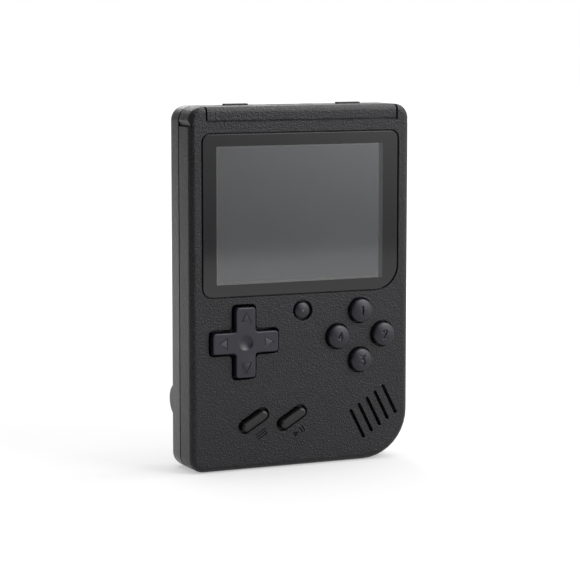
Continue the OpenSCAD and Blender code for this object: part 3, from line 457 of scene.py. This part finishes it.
FINISHES = {
    "front_plastic": grained_plastic("front_plastic", roughness=0.37, shine=0.28, depth_mm=0.24),
    "rear_plastic": grained_plastic("rear_plastic", roughness=0.3, shine=0.4, depth_mm=0.12),
    "button": satin_plastic("button_plastic", (0.008, 0.0076, 0.013, 1.0), (0.011, 0.0104, 0.017, 1.0),
                            roughness=0.4, shine=0.38),
    "pill": satin_plastic("pill_plastic", (0.007, 0.007, 0.0078, 1.0), (0.0098, 0.0098, 0.0108, 1.0),
                          roughness=0.42, shine=0.34),
    "pad": satin_plastic("pad_plastic", (0.0115, 0.0098, 0.0185, 1.0), (0.0155, 0.0134, 0.024, 1.0),
                         roughness=0.38, shine=0.4),
    "knob": satin_plastic("knob_plastic", grey(0.008), grey(0.013), roughness=0.45),
    "lens": printed_lens(),
    "display": display_glass(),
    "tray": brushed_metal("tray_metal", grey(0.55), grey(0.65), roughness=0.35, along=(1.0, 1.0, 6.0)),
    "tape": satin_plastic("lens_tape_film", grey(0.006), grey(0.01), roughness=0.6),
    "foam": soft_rubber("black_foam", grey(0.012), grey(0.03), grain_mm=0.3, depth_mm=0.08),
    "ribbon": ribbon_film(),
    "membrane": soft_rubber("grey_silicone", grey(0.16), grey(0.21), grain_mm=0.2, depth_mm=0.01),
    "steel": brushed_metal("plated_steel", grey(0.5), grey(0.62), roughness=0.28),
    "dark_steel": brushed_metal("blackened_steel", grey(0.08), grey(0.14), roughness=0.38),
    "board": printed_board(),
    "carbon": soft_rubber("carbon_print", grey(0.008), grey(0.018), grain_mm=0.12, depth_mm=0.01),
    "chip": soft_rubber("moulded_epoxy", grey(0.008), grey(0.014), grain_mm=0.15, depth_mm=0.015),
    "capacitor": satin_plastic("capacitor_case", (0.3, 0.16, 0.03, 1.0), (0.36, 0.2, 0.045, 1.0),
                               roughness=0.45),
    "jack": satin_plastic("jack_plastic", grey(0.006), grey(0.011), roughness=0.35),
    "cone": paper_cone(),
    "wire": satin_plastic("wire_cover", (0.3, 0.012, 0.012, 1.0), (0.38, 0.02, 0.018, 1.0), roughness=0.4),
    "battery": battery_wrap(),
    "gold": brushed_metal("gold_plate", (0.72, 0.48, 0.16, 1.0), (0.83, 0.58, 0.22, 1.0), roughness=0.25),
    "white_plastic": satin_plastic("white_plastic", grey(0.6), grey(0.68), roughness=0.45),
}


# Mesh helpers

def added(name, data):
    """A new object in the scene."""
    piece = bpy.data.objects.new(name, data)
    bpy.context.scene.collection.objects.link(piece)
    return piece


def flattened(piece):
    """Turns a piece's modifiers into its plain mesh."""
    depsgraph = bpy.context.evaluated_depsgraph_get()
    old = piece.data
    piece.data = bpy.data.meshes.new_from_object(piece.evaluated_get(depsgraph))
    piece.modifiers.clear()
    piece.data.name = piece.name
    bpy.data.meshes.remove(old)
    return piece


def smoothed(piece, angle=SMOOTH_ANGLE):
    """Shades a piece smooth up to that angle, with its large faces kept flat."""
    piece.data.shade_smooth()
    piece.data.set_sharp_from_angle(angle=math.radians(angle))
    normals = piece.modifiers.new("even", "WEIGHTED_NORMAL")
    normals.keep_sharp = True
    normals.weight = FLAT_WEIGHT
    return flattened(piece)


def merged_copy(node):
    """A CAD node's mesh with its corners joined and its flat faces whole."""
    work = bmesh.new()
    work.from_mesh(frame["nodes"][node].data)
    bmesh.ops.remove_doubles(work, verts=work.verts, dist=JOIN_SLACK * MM)
    flat = math.radians(FLAT_ANGLE)
    bmesh.ops.dissolve_limit(work, angle_limit=flat, verts=work.verts[:], edges=work.edges[:])
    return work


def rounded_edges(work, radius_of, segments):
    """Rounds the edges that radius_of gives a radius, in millimetres, one radius at a time."""
    groups = {}
    for edge in work.edges:
        if len(edge.link_faces) == 2 and edge.calc_face_angle(0.0) > math.radians(SHARP_ANGLE):
            radius = radius_of(edge)
            if radius:
                groups.setdefault(radius, []).append(edge)
    for radius, edges in groups.items():
        edges = [edge for edge in edges if edge.is_valid]
        bmesh.ops.bevel(work, geom=edges, offset=radius * MM, offset_type="OFFSET", segments=segments,
                        profile=0.5, affect="EDGES", clamp_overlap=False, loop_slide=False)


def moulding(node, name, body, finish, slot, radius_of=None, segments=3, angle=SMOOTH_ANGLE):
    """A piece that stands for a CAD node, with its visible edges rounded."""
    work = merged_copy(node)
    if radius_of:
        rounded_edges(work, radius_of, segments)
    placed(finished_piece(work, name, finish, angle), body, slot, node)


def finished_piece(work, name, finish, angle=SMOOTH_ANGLE):
    """A piece from its worked mesh, shaded and with its finish."""
    mesh = bpy.data.meshes.new(name)
    work.to_mesh(mesh)
    work.free()
    piece = smoothed(added(name, mesh), angle)
    piece.data.materials.clear()
    piece.data.materials.append(FINISHES[finish])
    return piece


def placed(piece, body, slot, *nodes):
    """Hangs a piece on the body that carries it and hides the CAD nodes it stands for. The slot is not
    used.
    """
    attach(piece, body)
    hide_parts(*nodes)


# Where an edge lies on the case

def outline_depth(x, z):
    """How far a point lies inside the case's outline, in millimetres."""
    corner = BIG_CORNER_R if x > 0 and z < CASE_H / 2 else CORNER_R
    across = CASE_W / 2 - abs(x)
    up = min(z, CASE_H - z)
    if across < corner and up < corner:
        return corner - math.hypot(corner - across, corner - up)
    return min(across, up)


def skin_depth(point):
    """How far a point lies under the case's skin, in millimetres."""
    x, y, z = point / MM
    side = outline_depth(x, z)
    face, edge = (y - FRONT_Y, FACE_ROUND) if y < SEAM_Y else (BACK_Y - y, BACK_ROUND)
    if side < edge and face < edge:
        return edge - math.hypot(edge - side, edge - face)
    return min(side, face)


def on_skin(edge):
    """Whether an edge lies on the case's skin."""
    return all(skin_depth(corner.co) < SKIN_SLACK for corner in edge.verts)


def middle(edge):
    """Middle of an edge, in millimetres."""
    return (edge.verts[0].co + edge.verts[1].co) / (2 * MM)


def near(point, spot, reach):
    """Whether a point, seen from the front, lies within reach of a spot."""
    return math.hypot(point.x - spot[0], point.z - spot[1]) < reach


def front_radius(edge):
    """Rounding of the front shell's edges."""
    if not on_skin(edge):
        return None
    point = middle(edge)
    if point.y > SEAM_Y - SEAM_SLACK:
        return SEAM_EDGE
    if point.y < FRONT_Y + FACE_SLACK:
        if any(near(point, spot, LEGEND_REACH) for spot in LEGEND_SPOTS):
            return None
        if near(point, SLOT_SPOT, SLOT_REACH):
            return SLOT_EDGE
        if point.z > lens_low.z - LENS_SLACK:
            return LENS_SEAT_EDGE
        return HOLE_EDGE
    return GROOVE_EDGE


def rear_radius(edge):
    """Rounding of the rear shell's and the battery door's edges."""
    return REAR_EDGE if on_skin(edge) else None


def top_rim(level, radius):
    """Rounds the outer edge of a piece's front, which lies at that level, and no engraved mark in it."""
    def choose(edge):
        if any(abs(corner.co.y / MM - level) > LEVEL_SLACK for corner in edge.verts):
            return None
        walls = [face for face in edge.link_faces if abs(face.normal.y) < WALL_SLOPE]
        if not walls:
            return None
        depths = [corner.co.y for corner in walls[0].verts]
        return radius if max(depths) - min(depths) > MARK_DEPTH * MM else None
    return choose


def end_rim(axis, level, radius):
    """Rounds every edge that lies at that level along an axis."""
    def choose(edge):
        flat = all(abs(corner.co[axis] / MM - level) < LEVEL_SLACK for corner in edge.verts)
        return radius if flat else None
    return choose


# Pieces

def shells():
    moulding("front_shell", "front_moulding", "case", "front_plastic", "shell", front_radius, segments=3)
    moulding("rear_shell", "rear_moulding", "case", "rear_plastic", "shell", rear_radius, segments=2)
    moulding("battery_door", "door_moulding", "battery_door", "rear_plastic", "shell",
             rear_radius, segments=2)


def screen():
    lens = end_rim(Y_AXIS, lens_low.y, LENS_RIM)
    moulding("screen_lens", "lens_sheet", "case", "lens", "lens", lens, segments=3)


def controls():
    moulding("direction_pad", "direction_cross", "direction_pad", "pad", "button",
             top_rim(PAD_TOP_Y, PAD_RIM), segments=4)
    for number, place in enumerate(("top", "right", "bottom", "left"), 1):
        moulding(f"button_{place}", f"round_button_{number}", f"button_{place}", "button", "button",
                 angle=ROUND_ANGLE)
    moulding("reset_button", "small_round_button", "reset_button", "button", "button", angle=ROUND_ANGLE)
    pill = top_rim(PILL_TOP_Y, PILL_RIM)
    moulding("select_button", "select_pill", "select_button", "pill", "button", pill, segments=5)
    moulding("start_button", "start_pill", "start_button", "pill", "button", pill, segments=5)


def top_edge():
    knob = end_rim(Z_AXIS, KNOB_TOP_Z, KNOB_RIM)
    port = end_rim(Z_AXIS, PORT_TOP_Z, PORT_RIM)
    jack = end_rim(Z_AXIS, JACK_TOP_Z, JACK_RIM)
    moulding("power_knob", "power_slider", "power_knob", "knob", "knob", knob, segments=2)
    moulding("volume_knob", "volume_slider_knob", "volume_knob", "knob", "knob", knob, segments=2)
    moulding("charge_port_shell", "charge_port", "case", "steel", "steel", port, segments=2)
    moulding("av_jack", "jack_collar", "case", "jack", "jack", jack, segments=3)


# Rubber keypads

def keypad_sheet(node, name):
    """The flat sheet of a keypad, from the back face of its solid, with a hole under each dome."""
    back = extent(node)[1].y
    work = merged_copy(node)
    gone = [corner for corner in work.verts if corner.co.y / MM < back - LEVEL_SLACK]
    bmesh.ops.delete(work, geom=gone, context="VERTS")
    grown = bmesh.ops.extrude_face_region(work, geom=work.faces[:])["geom"]
    front = [part for part in grown if isinstance(part, bmesh.types.BMVert)]
    bmesh.ops.translate(work, verts=front, vec=(0.0, -SHEET_T * MM, 0.0))
    bmesh.ops.recalc_face_normals(work, faces=work.faces[:])
    rubber(work, name, node)


def keypad_dome(node, name, spot, room=0.0):
    """A hollow dome on a keypad's sheet, with room above it.
    """
    low, high = extent(node)
    foot_y = high.y - SHEET_T
    dome_h = foot_y - low.y - room
    foot, top = DOME_FOOT_D / 2, DOME_TOP_D / 2
    shoulder = [(top + out, dome_h - down) for out, down in DOME_SHOULDER]
    half_section = [(0.0, dome_h), *shoulder, (foot, 0.0), (foot - DOME_WALL, 0.0),
                    (top - DOME_WALL / 2, dome_h / 2), (0.0, dome_h / 2)]
    work = bmesh.new()
    corners = [work.verts.new(((spot[0] + reach) * MM, (foot_y - height) * MM, spot[1] * MM))
               for reach, height in half_section]
    edges = [work.edges.new(pair) for pair in zip(corners, corners[1:])]
    bmesh.ops.spin(work, geom=corners + edges, cent=(spot[0] * MM, 0.0, spot[1] * MM), axis=(0.0, 1.0, 0.0),
                   angle=math.tau, steps=DOME_STEPS, use_merge=True)
    bmesh.ops.remove_doubles(work, verts=work.verts[:], dist=JOIN_SLACK * MM)
    bmesh.ops.recalc_face_normals(work, faces=work.faces[:])
    dome = rubber(work, name, node)
    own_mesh(dome)


def rubber(work, name, node):
    """A piece of a keypad from its worked mesh."""
    piece = finished_piece(work, name, "membrane")
    placed(piece, "case", "membrane", node)
    return piece


def keypads():
    """The four keypads: each sheet with a dome under each of its buttons, and the pad's domes with some
    room above them.
    """
    slides = [joint for joint in frame["joints"] if joint["type"] == "slide"]
    travel = {joint["child"]: joint["range_m"][1] / MM for joint in slides}
    for pad, buttons in KEYPAD_BUTTONS.items():
        node = f"{pad}_membrane"
        keypad_sheet(node, f"{pad}_keypad_sheet")
        low, high = extent(node)
        dome_h = high.y - SHEET_T - low.y
        for button in buttons:
            place = centre(button)
            keep = 1.0 - travel[button] / dome_h
            keypad_dome(node, f"{button}_dome", (place.x, place.z))
    keypad_sheet("pad_membrane", "pad_keypad_sheet")
    cross = centre("direction_pad")
    for way, (x, z, joint) in PAD_DOMES.items():
        spot = cross.x + x * PAD_DOME_REACH, cross.z + z * PAD_DOME_REACH
        keypad_dome("pad_membrane", f"pad_{way}_dome", spot, PAD_DOME_ROOM)


# Screws

def islands(node):
    """Low and high corner, in millimetres, of each separate solid of a CAD node."""
    work = merged_copy(node)
    left = set(work.verts)
    boxes = []
    while left:
        waiting = [left.pop()]
        found = []
        while waiting:
            corner = waiting.pop()
            found.append(corner.co / MM)
            for edge in corner.link_edges:
                other = edge.other_vert(corner)
                if other in left:
                    left.remove(other)
                    waiting.append(other)
        boxes.append(span(found))
    work.free()
    return boxes


def screw_tree():
    """Screws on points: each has a domed head with a cross recess, a shaft and a cut tip."""
    tree = bpy.data.node_groups.new("screw_set", "GeometryNodeTree")
    tree.interface.new_socket("Places", in_out="INPUT", socket_type="NodeSocketGeometry")
    for measure in ("Head Diameter", "Head Height", "Shaft Diameter", "Shaft Length",
                    "Cross Length", "Cross Width", "Cross Depth"):
        tree.interface.new_socket(measure, in_out="INPUT", socket_type="NodeSocketFloat")
    tree.interface.new_socket("Metal", in_out="INPUT", socket_type="NodeSocketMaterial")
    tree.interface.new_socket("Screws", in_out="OUTPUT", socket_type="NodeSocketGeometry")
    nodes = Nodes(tree)
    entry = tree.nodes.new("NodeGroupInput")

    def given(name):
        return Socket(nodes, entry.outputs[name])

    def vector(x, y, z):
        return nodes.node("ShaderNodeCombineXYZ", None, {0: x, 1: y, 2: z})

    def lifted(shape, height):
        return nodes.node("GeometryNodeTransform", None, {
            "Geometry": shape, "Translation": vector(0.0, 0.0, height)})

    def cylinder(sides, diameter, height):
        return nodes.node("GeometryNodeMeshCylinder", None, {
            "Vertices": sides, "Radius": diameter * 0.5, "Depth": height})

    head_d = given("Head Diameter")
    head_h = given("Head Height")
    shaft_l = given("Shaft Length")
    shaft_d = given("Shaft Diameter")

    def groove(length, width):
        size = vector(length, width, given("Cross Depth") * 2.0)
        return lifted(nodes.node("GeometryNodeMeshCube", None, {"Size": size}), head_h)

    dome_r = head_d * HEAD_DOME_SHARE
    blank = lifted(cylinder(HEAD_SIDES, head_d, head_h), head_h * 0.5)
    ball = lifted(nodes.node("GeometryNodeMeshUVSphere", None, {
        "Segments": HEAD_SIDES, "Rings": HEAD_SIDES, "Radius": dome_r}), head_h - dome_r)
    domed = nodes.node("GeometryNodeMeshBoolean", {"operation": "INTERSECT"}, {"Mesh 2": [blank, ball]})
    root = head_h * ROOT_SHARE
    tip_l = shaft_d * TIP_SHARE
    shaft = lifted(cylinder(SHAFT_SIDES, shaft_d, shaft_l - tip_l + root), (root - shaft_l + tip_l) * 0.5)
    tip = lifted(nodes.node("GeometryNodeMeshCone", None, {
        "Vertices": SHAFT_SIDES, "Radius Top": shaft_d * 0.5, "Radius Bottom": shaft_d * TIP_END_SHARE,
        "Depth": tip_l}), -1.0 * shaft_l)
    whole = nodes.node("GeometryNodeMeshBoolean", {"operation": "UNION"}, {"Mesh 2": [domed, shaft, tip]})
    grooves = [groove(given("Cross Length"), given("Cross Width")),
               groove(given("Cross Width"), given("Cross Length"))]
    screw = nodes.node("GeometryNodeMeshBoolean", {"operation": "DIFFERENCE"},
                       {"Mesh 1": whole, "Mesh 2": grooves})
    set_out = nodes.node("GeometryNodeInstanceOnPoints", None, {
        "Points": given("Places"), "Instance": screw, "Rotation": (-math.pi / 2, 0.0, 0.0)})
    plain = nodes.node("GeometryNodeRealizeInstances", None, {"Geometry": set_out})
    made = nodes.node("GeometryNodeSetMaterial", None, {"Geometry": plain, "Material": given("Metal")})
    nodes.node("NodeGroupOutput", None, {"Screws": made})
    return tree


def screws(tree, node, name, finish):
    """A set of screws in the places of a CAD node's screws, with their heads to the back."""
    boxes = islands(node)
    places = bpy.data.meshes.new(name)
    places.from_pydata([((low.x + high.x) / 2 * MM, (high.y - SCREW_HEAD_H) * MM, (low.z + high.z) / 2 * MM)
                        for low, high in boxes], [], [])
    piece = added(name, places)
    sizes = {
        "Head Diameter": SCREW_HEAD_D * MM,
        "Head Height": SCREW_HEAD_H * MM,
        "Shaft Diameter": SCREW_SHAFT_D * MM,
        "Shaft Length": (boxes[0][1].y - boxes[0][0].y - SCREW_HEAD_H) * MM,
        "Cross Length": SCREW_CROSS[0] * MM,
        "Cross Width": SCREW_CROSS[1] * MM,
        "Cross Depth": SCREW_CROSS[2] * MM,
        "Metal": FINISHES[finish],
    }
    maker = piece.modifiers.new("screws", "NODES")
    maker.node_group = tree
    for socket in tree.interface.items_tree:
        if socket.name in sizes:
            maker[socket.identifier] = sizes[socket.name]
    flattened(piece)
    smoothed(piece, SHARP_ANGLE)
    placed(piece, "case", finish, node)


def fasteners():
    tree = screw_tree()
    screws(tree, "shell_screws", "shell_screw_set", "dark_steel")
    screws(tree, "board_screws", "board_screw_set", "steel")


NODE_FINISHES = {
    "lens_tape": "tape",
    "lcd_panel": "display",
    "lcd_backlight": "tray",
    "lcd_ribbon": "ribbon",
    "lcd_foam_pads": "foam",
    "pad_pivot_ball": "steel",
    "power_switch": "steel",
    "volume_slider": "steel",
    "main_board": "board",
    "contact_pads": "carbon",
    "chip_blob": "chip",
    "memory_chip": "chip",
    "amplifier_chip": "chip",
    "crystal": "steel",
    "capacitors": "capacitor",
    "charge_port_tongue": "jack",
    "speaker_gasket": "foam",
    "speaker_basket": "dark_steel",
    "speaker_cone": "cone",
    "speaker_magnet": "steel",
    "speaker_wires": "wire",
    "battery": "battery",
    "battery_terminals": "gold",
    "contact_block": "white_plastic",
    "battery_contacts": "gold",
}


def kept_nodes():
    """Gives each CAD node that stays its finish."""
    for node, finish in NODE_FINISHES.items():
        mesh = frame["nodes"][node].data
        mesh.materials.clear()
        mesh.materials.append(FINISHES[finish])


# Camera, floor and light, in metres

CAMERA_PLACE = (-0.31935, -0.70525, 0.1529)
CAMERA_RIGHT = (0.9109, -0.4126, 0.0)
CAMERA_UP = (0.0490, 0.1082, 0.9929)
CAMERA_LENS = 138.46
SENSOR_W = 36.0

FLOOR_COLOUR = 0.66
FLOOR_GLOW = 0.42
# Far off the floor glows more; near the console the weaker glow is painted shade round it
FAR_GLOW = 0.35
NEAR_SHADE_RANGE = (0.12, 0.5)
FLOOR_FRONT = -0.66
FLOOR_LEFT = -0.4
FLOOR_REACH = 4.0
FLOOR_LEVEL = -0.0002

# Parts of the room: the way to each, and the cosines from that way at which it begins and is full
ROOM_TOP = ((0.0, 0.0, 1.0), -0.15, 0.0)
ROOM_RIGHT = ((0.866, -0.5, 0.0), 0.72, 0.9)
ROOM_LEFT = ((-0.9, 0.35, 0.25), 0.2, 0.7)
ROOM_FRONT = ((0.0, -1.0, 0.0), -0.1, 0.5)
ROOM_REAR = ((0.0, 0.75, 0.66), -0.2, 0.9)
ROOM_CORNER = ((-0.6, -0.8, 0.0), 0.55, 0.9)
CEILING_PANEL = ((0.4, -0.1, 0.91), 0.7, 0.95)
RIGHT_PANEL = ((0.55, -0.71, 0.44), 0.84, 0.96)

# How light those parts are, as strengths and as shares of what is there
LOW_GLOW = 0.42
TOP_GLOW = 0.82
MIDDLE_SHARE = 0.7
RIGHT_SHARE = 0.74
LEFT_SHADE = 0.76
CORNER_SHADE = 0.88
CEILING_GLOW = 2.0
RIGHT_GLOW = 2.2
WALL_LIGHT = 0.35
REAR_LIGHT = 0.5

# Soft boxes: place, aim, side and power in watts
SOFT_BOXES = {
    "top_box": ((0.35, -0.03, 0.8), (0.0, 0.0, 0.07), 0.35, 1.4),
    "rear_box": ((0.1, 0.62, 0.48), (0.0, 0.0, 0.07), 0.3, 1.0),
    "right_box": ((0.2, -0.28, 0.3), (0.03, 0.0, 0.12), 0.2, 0.6),
}


def camera():
    """The photograph's place: to the left of the face and a little above it."""
    right = Vector(CAMERA_RIGHT)
    up = Vector(CAMERA_UP)
    back = right.cross(up)
    turn = Matrix((right, up, back)).transposed().to_4x4()
    data = bpy.data.cameras.new("camera")
    data.lens = CAMERA_LENS
    data.sensor_width = SENSOR_W
    eye = added("camera", data)
    eye.matrix_world = Matrix.Translation(CAMERA_PLACE) @ turn
    bpy.context.scene.camera = eye


def floor():
    """A pale floor that shows white to the camera far off, glows less near the console as painted shade
    round it, and keeps the console's shadow.
    """
    look = Finish("pale_floor")
    away = look.node("ShaderNodeVectorMath", {"operation": "DISTANCE"}, {0: look.place}, output="Value")
    # painted shade: the glow is weaker near the console, so the floor is darker round it
    glow = (FLOOR_GLOW + FAR_GLOW * look.eased(away, *NEAR_SHADE_RANGE)) * seen_directly(look)
    plain = look.node("ShaderNodeBsdfDiffuse", None, {"Color": grey(FLOOR_COLOUR)})
    white = look.node("ShaderNodeEmission", None, {"Color": look.mixed(glow, grey(0.0), grey(1.0))})
    surface = look.node("ShaderNodeAddShader", None, {0: plain, 1: white})
    mesh = bpy.data.meshes.new("floor")
    outline = ((FLOOR_LEFT, FLOOR_FRONT), (FLOOR_REACH, FLOOR_FRONT),
               (FLOOR_REACH, FLOOR_REACH), (FLOOR_LEFT, FLOOR_REACH))
    corners = [(x, y, FLOOR_LEVEL) for x, y in outline]
    mesh.from_pydata(corners, [], [(0, 1, 2, 3)])
    mesh.materials.append(look.finished(surface))
    added("floor", mesh)


def seen_directly(nodes):
    """1 for what the camera sees straight, mirrored or through glass, 0 for light that falls on things."""
    camera_ray = nodes.node("ShaderNodeLightPath", output="Is Camera Ray")
    path = camera_ray.socket.node
    glossy = Socket(nodes, path.outputs["Is Glossy Ray"])
    through = Socket(nodes, path.outputs["Is Transmission Ray"])
    return (camera_ray + glossy + through).maths("MINIMUM", 1.0)


def soft_box(name, place, aim, side, power):
    """A square lamp that faces its aim."""
    data = bpy.data.lights.new(name, "AREA")
    data.shape = "SQUARE"
    data.size = side
    data.energy = power
    box = added(name, data)
    place = Vector(place)
    box.location = place
    box.rotation_euler = (Vector(aim) - place).to_track_quat("-Z", "Y").to_euler()


def light():
    """A room that the console mirrors, plain white to the camera, and the soft boxes that light it."""
    world = bpy.data.worlds.new("studio")
    bpy.context.scene.world = world
    world.use_nodes = True
    nodes = Nodes(world.node_tree)
    nodes.tree.nodes.clear()
    way = nodes.node("ShaderNodeTexCoord", output="Generated")

    def towards(side, start, end):
        along = nodes.node("ShaderNodeVectorMath", {"operation": "DOT_PRODUCT"},
                           {0: way, 1: side}, output="Value")
        return nodes.eased(along, start, end)

    direct = seen_directly(nodes)
    camera_ray = nodes.node("ShaderNodeLightPath", output="Is Camera Ray")
    upwards = LOW_GLOW + TOP_GLOW * towards(*ROOM_TOP)
    room = upwards * (MIDDLE_SHARE + RIGHT_SHARE * towards(*ROOM_RIGHT))
    backdrop = 1.0 - LEFT_SHADE * towards(*ROOM_LEFT)
    panels = CEILING_GLOW * towards(*CEILING_PANEL) + RIGHT_GLOW * towards(*RIGHT_PANEL)
    seen = backdrop + towards(*ROOM_FRONT) * (room - backdrop) + panels
    cast = WALL_LIGHT + REAR_LIGHT * towards(*ROOM_REAR)
    walls = direct * seen + (1.0 - direct) * cast
    shaded = walls * (1.0 - CORNER_SHADE * towards(*ROOM_CORNER))
    strength = camera_ray + (1.0 - camera_ray) * shaded
    glow = nodes.node("ShaderNodeBackground", None, {"Color": grey(1.0), "Strength": strength})
    nodes.node("ShaderNodeOutputWorld", None, {"Surface": glow})
    for name, settings in SOFT_BOXES.items():
        soft_box(name, *settings)
    bpy.context.scene.view_settings.view_transform = "Standard"


camera()
shells()
screen()
controls()
top_edge()
keypads()
fasteners()
kept_nodes()
floor()
light()
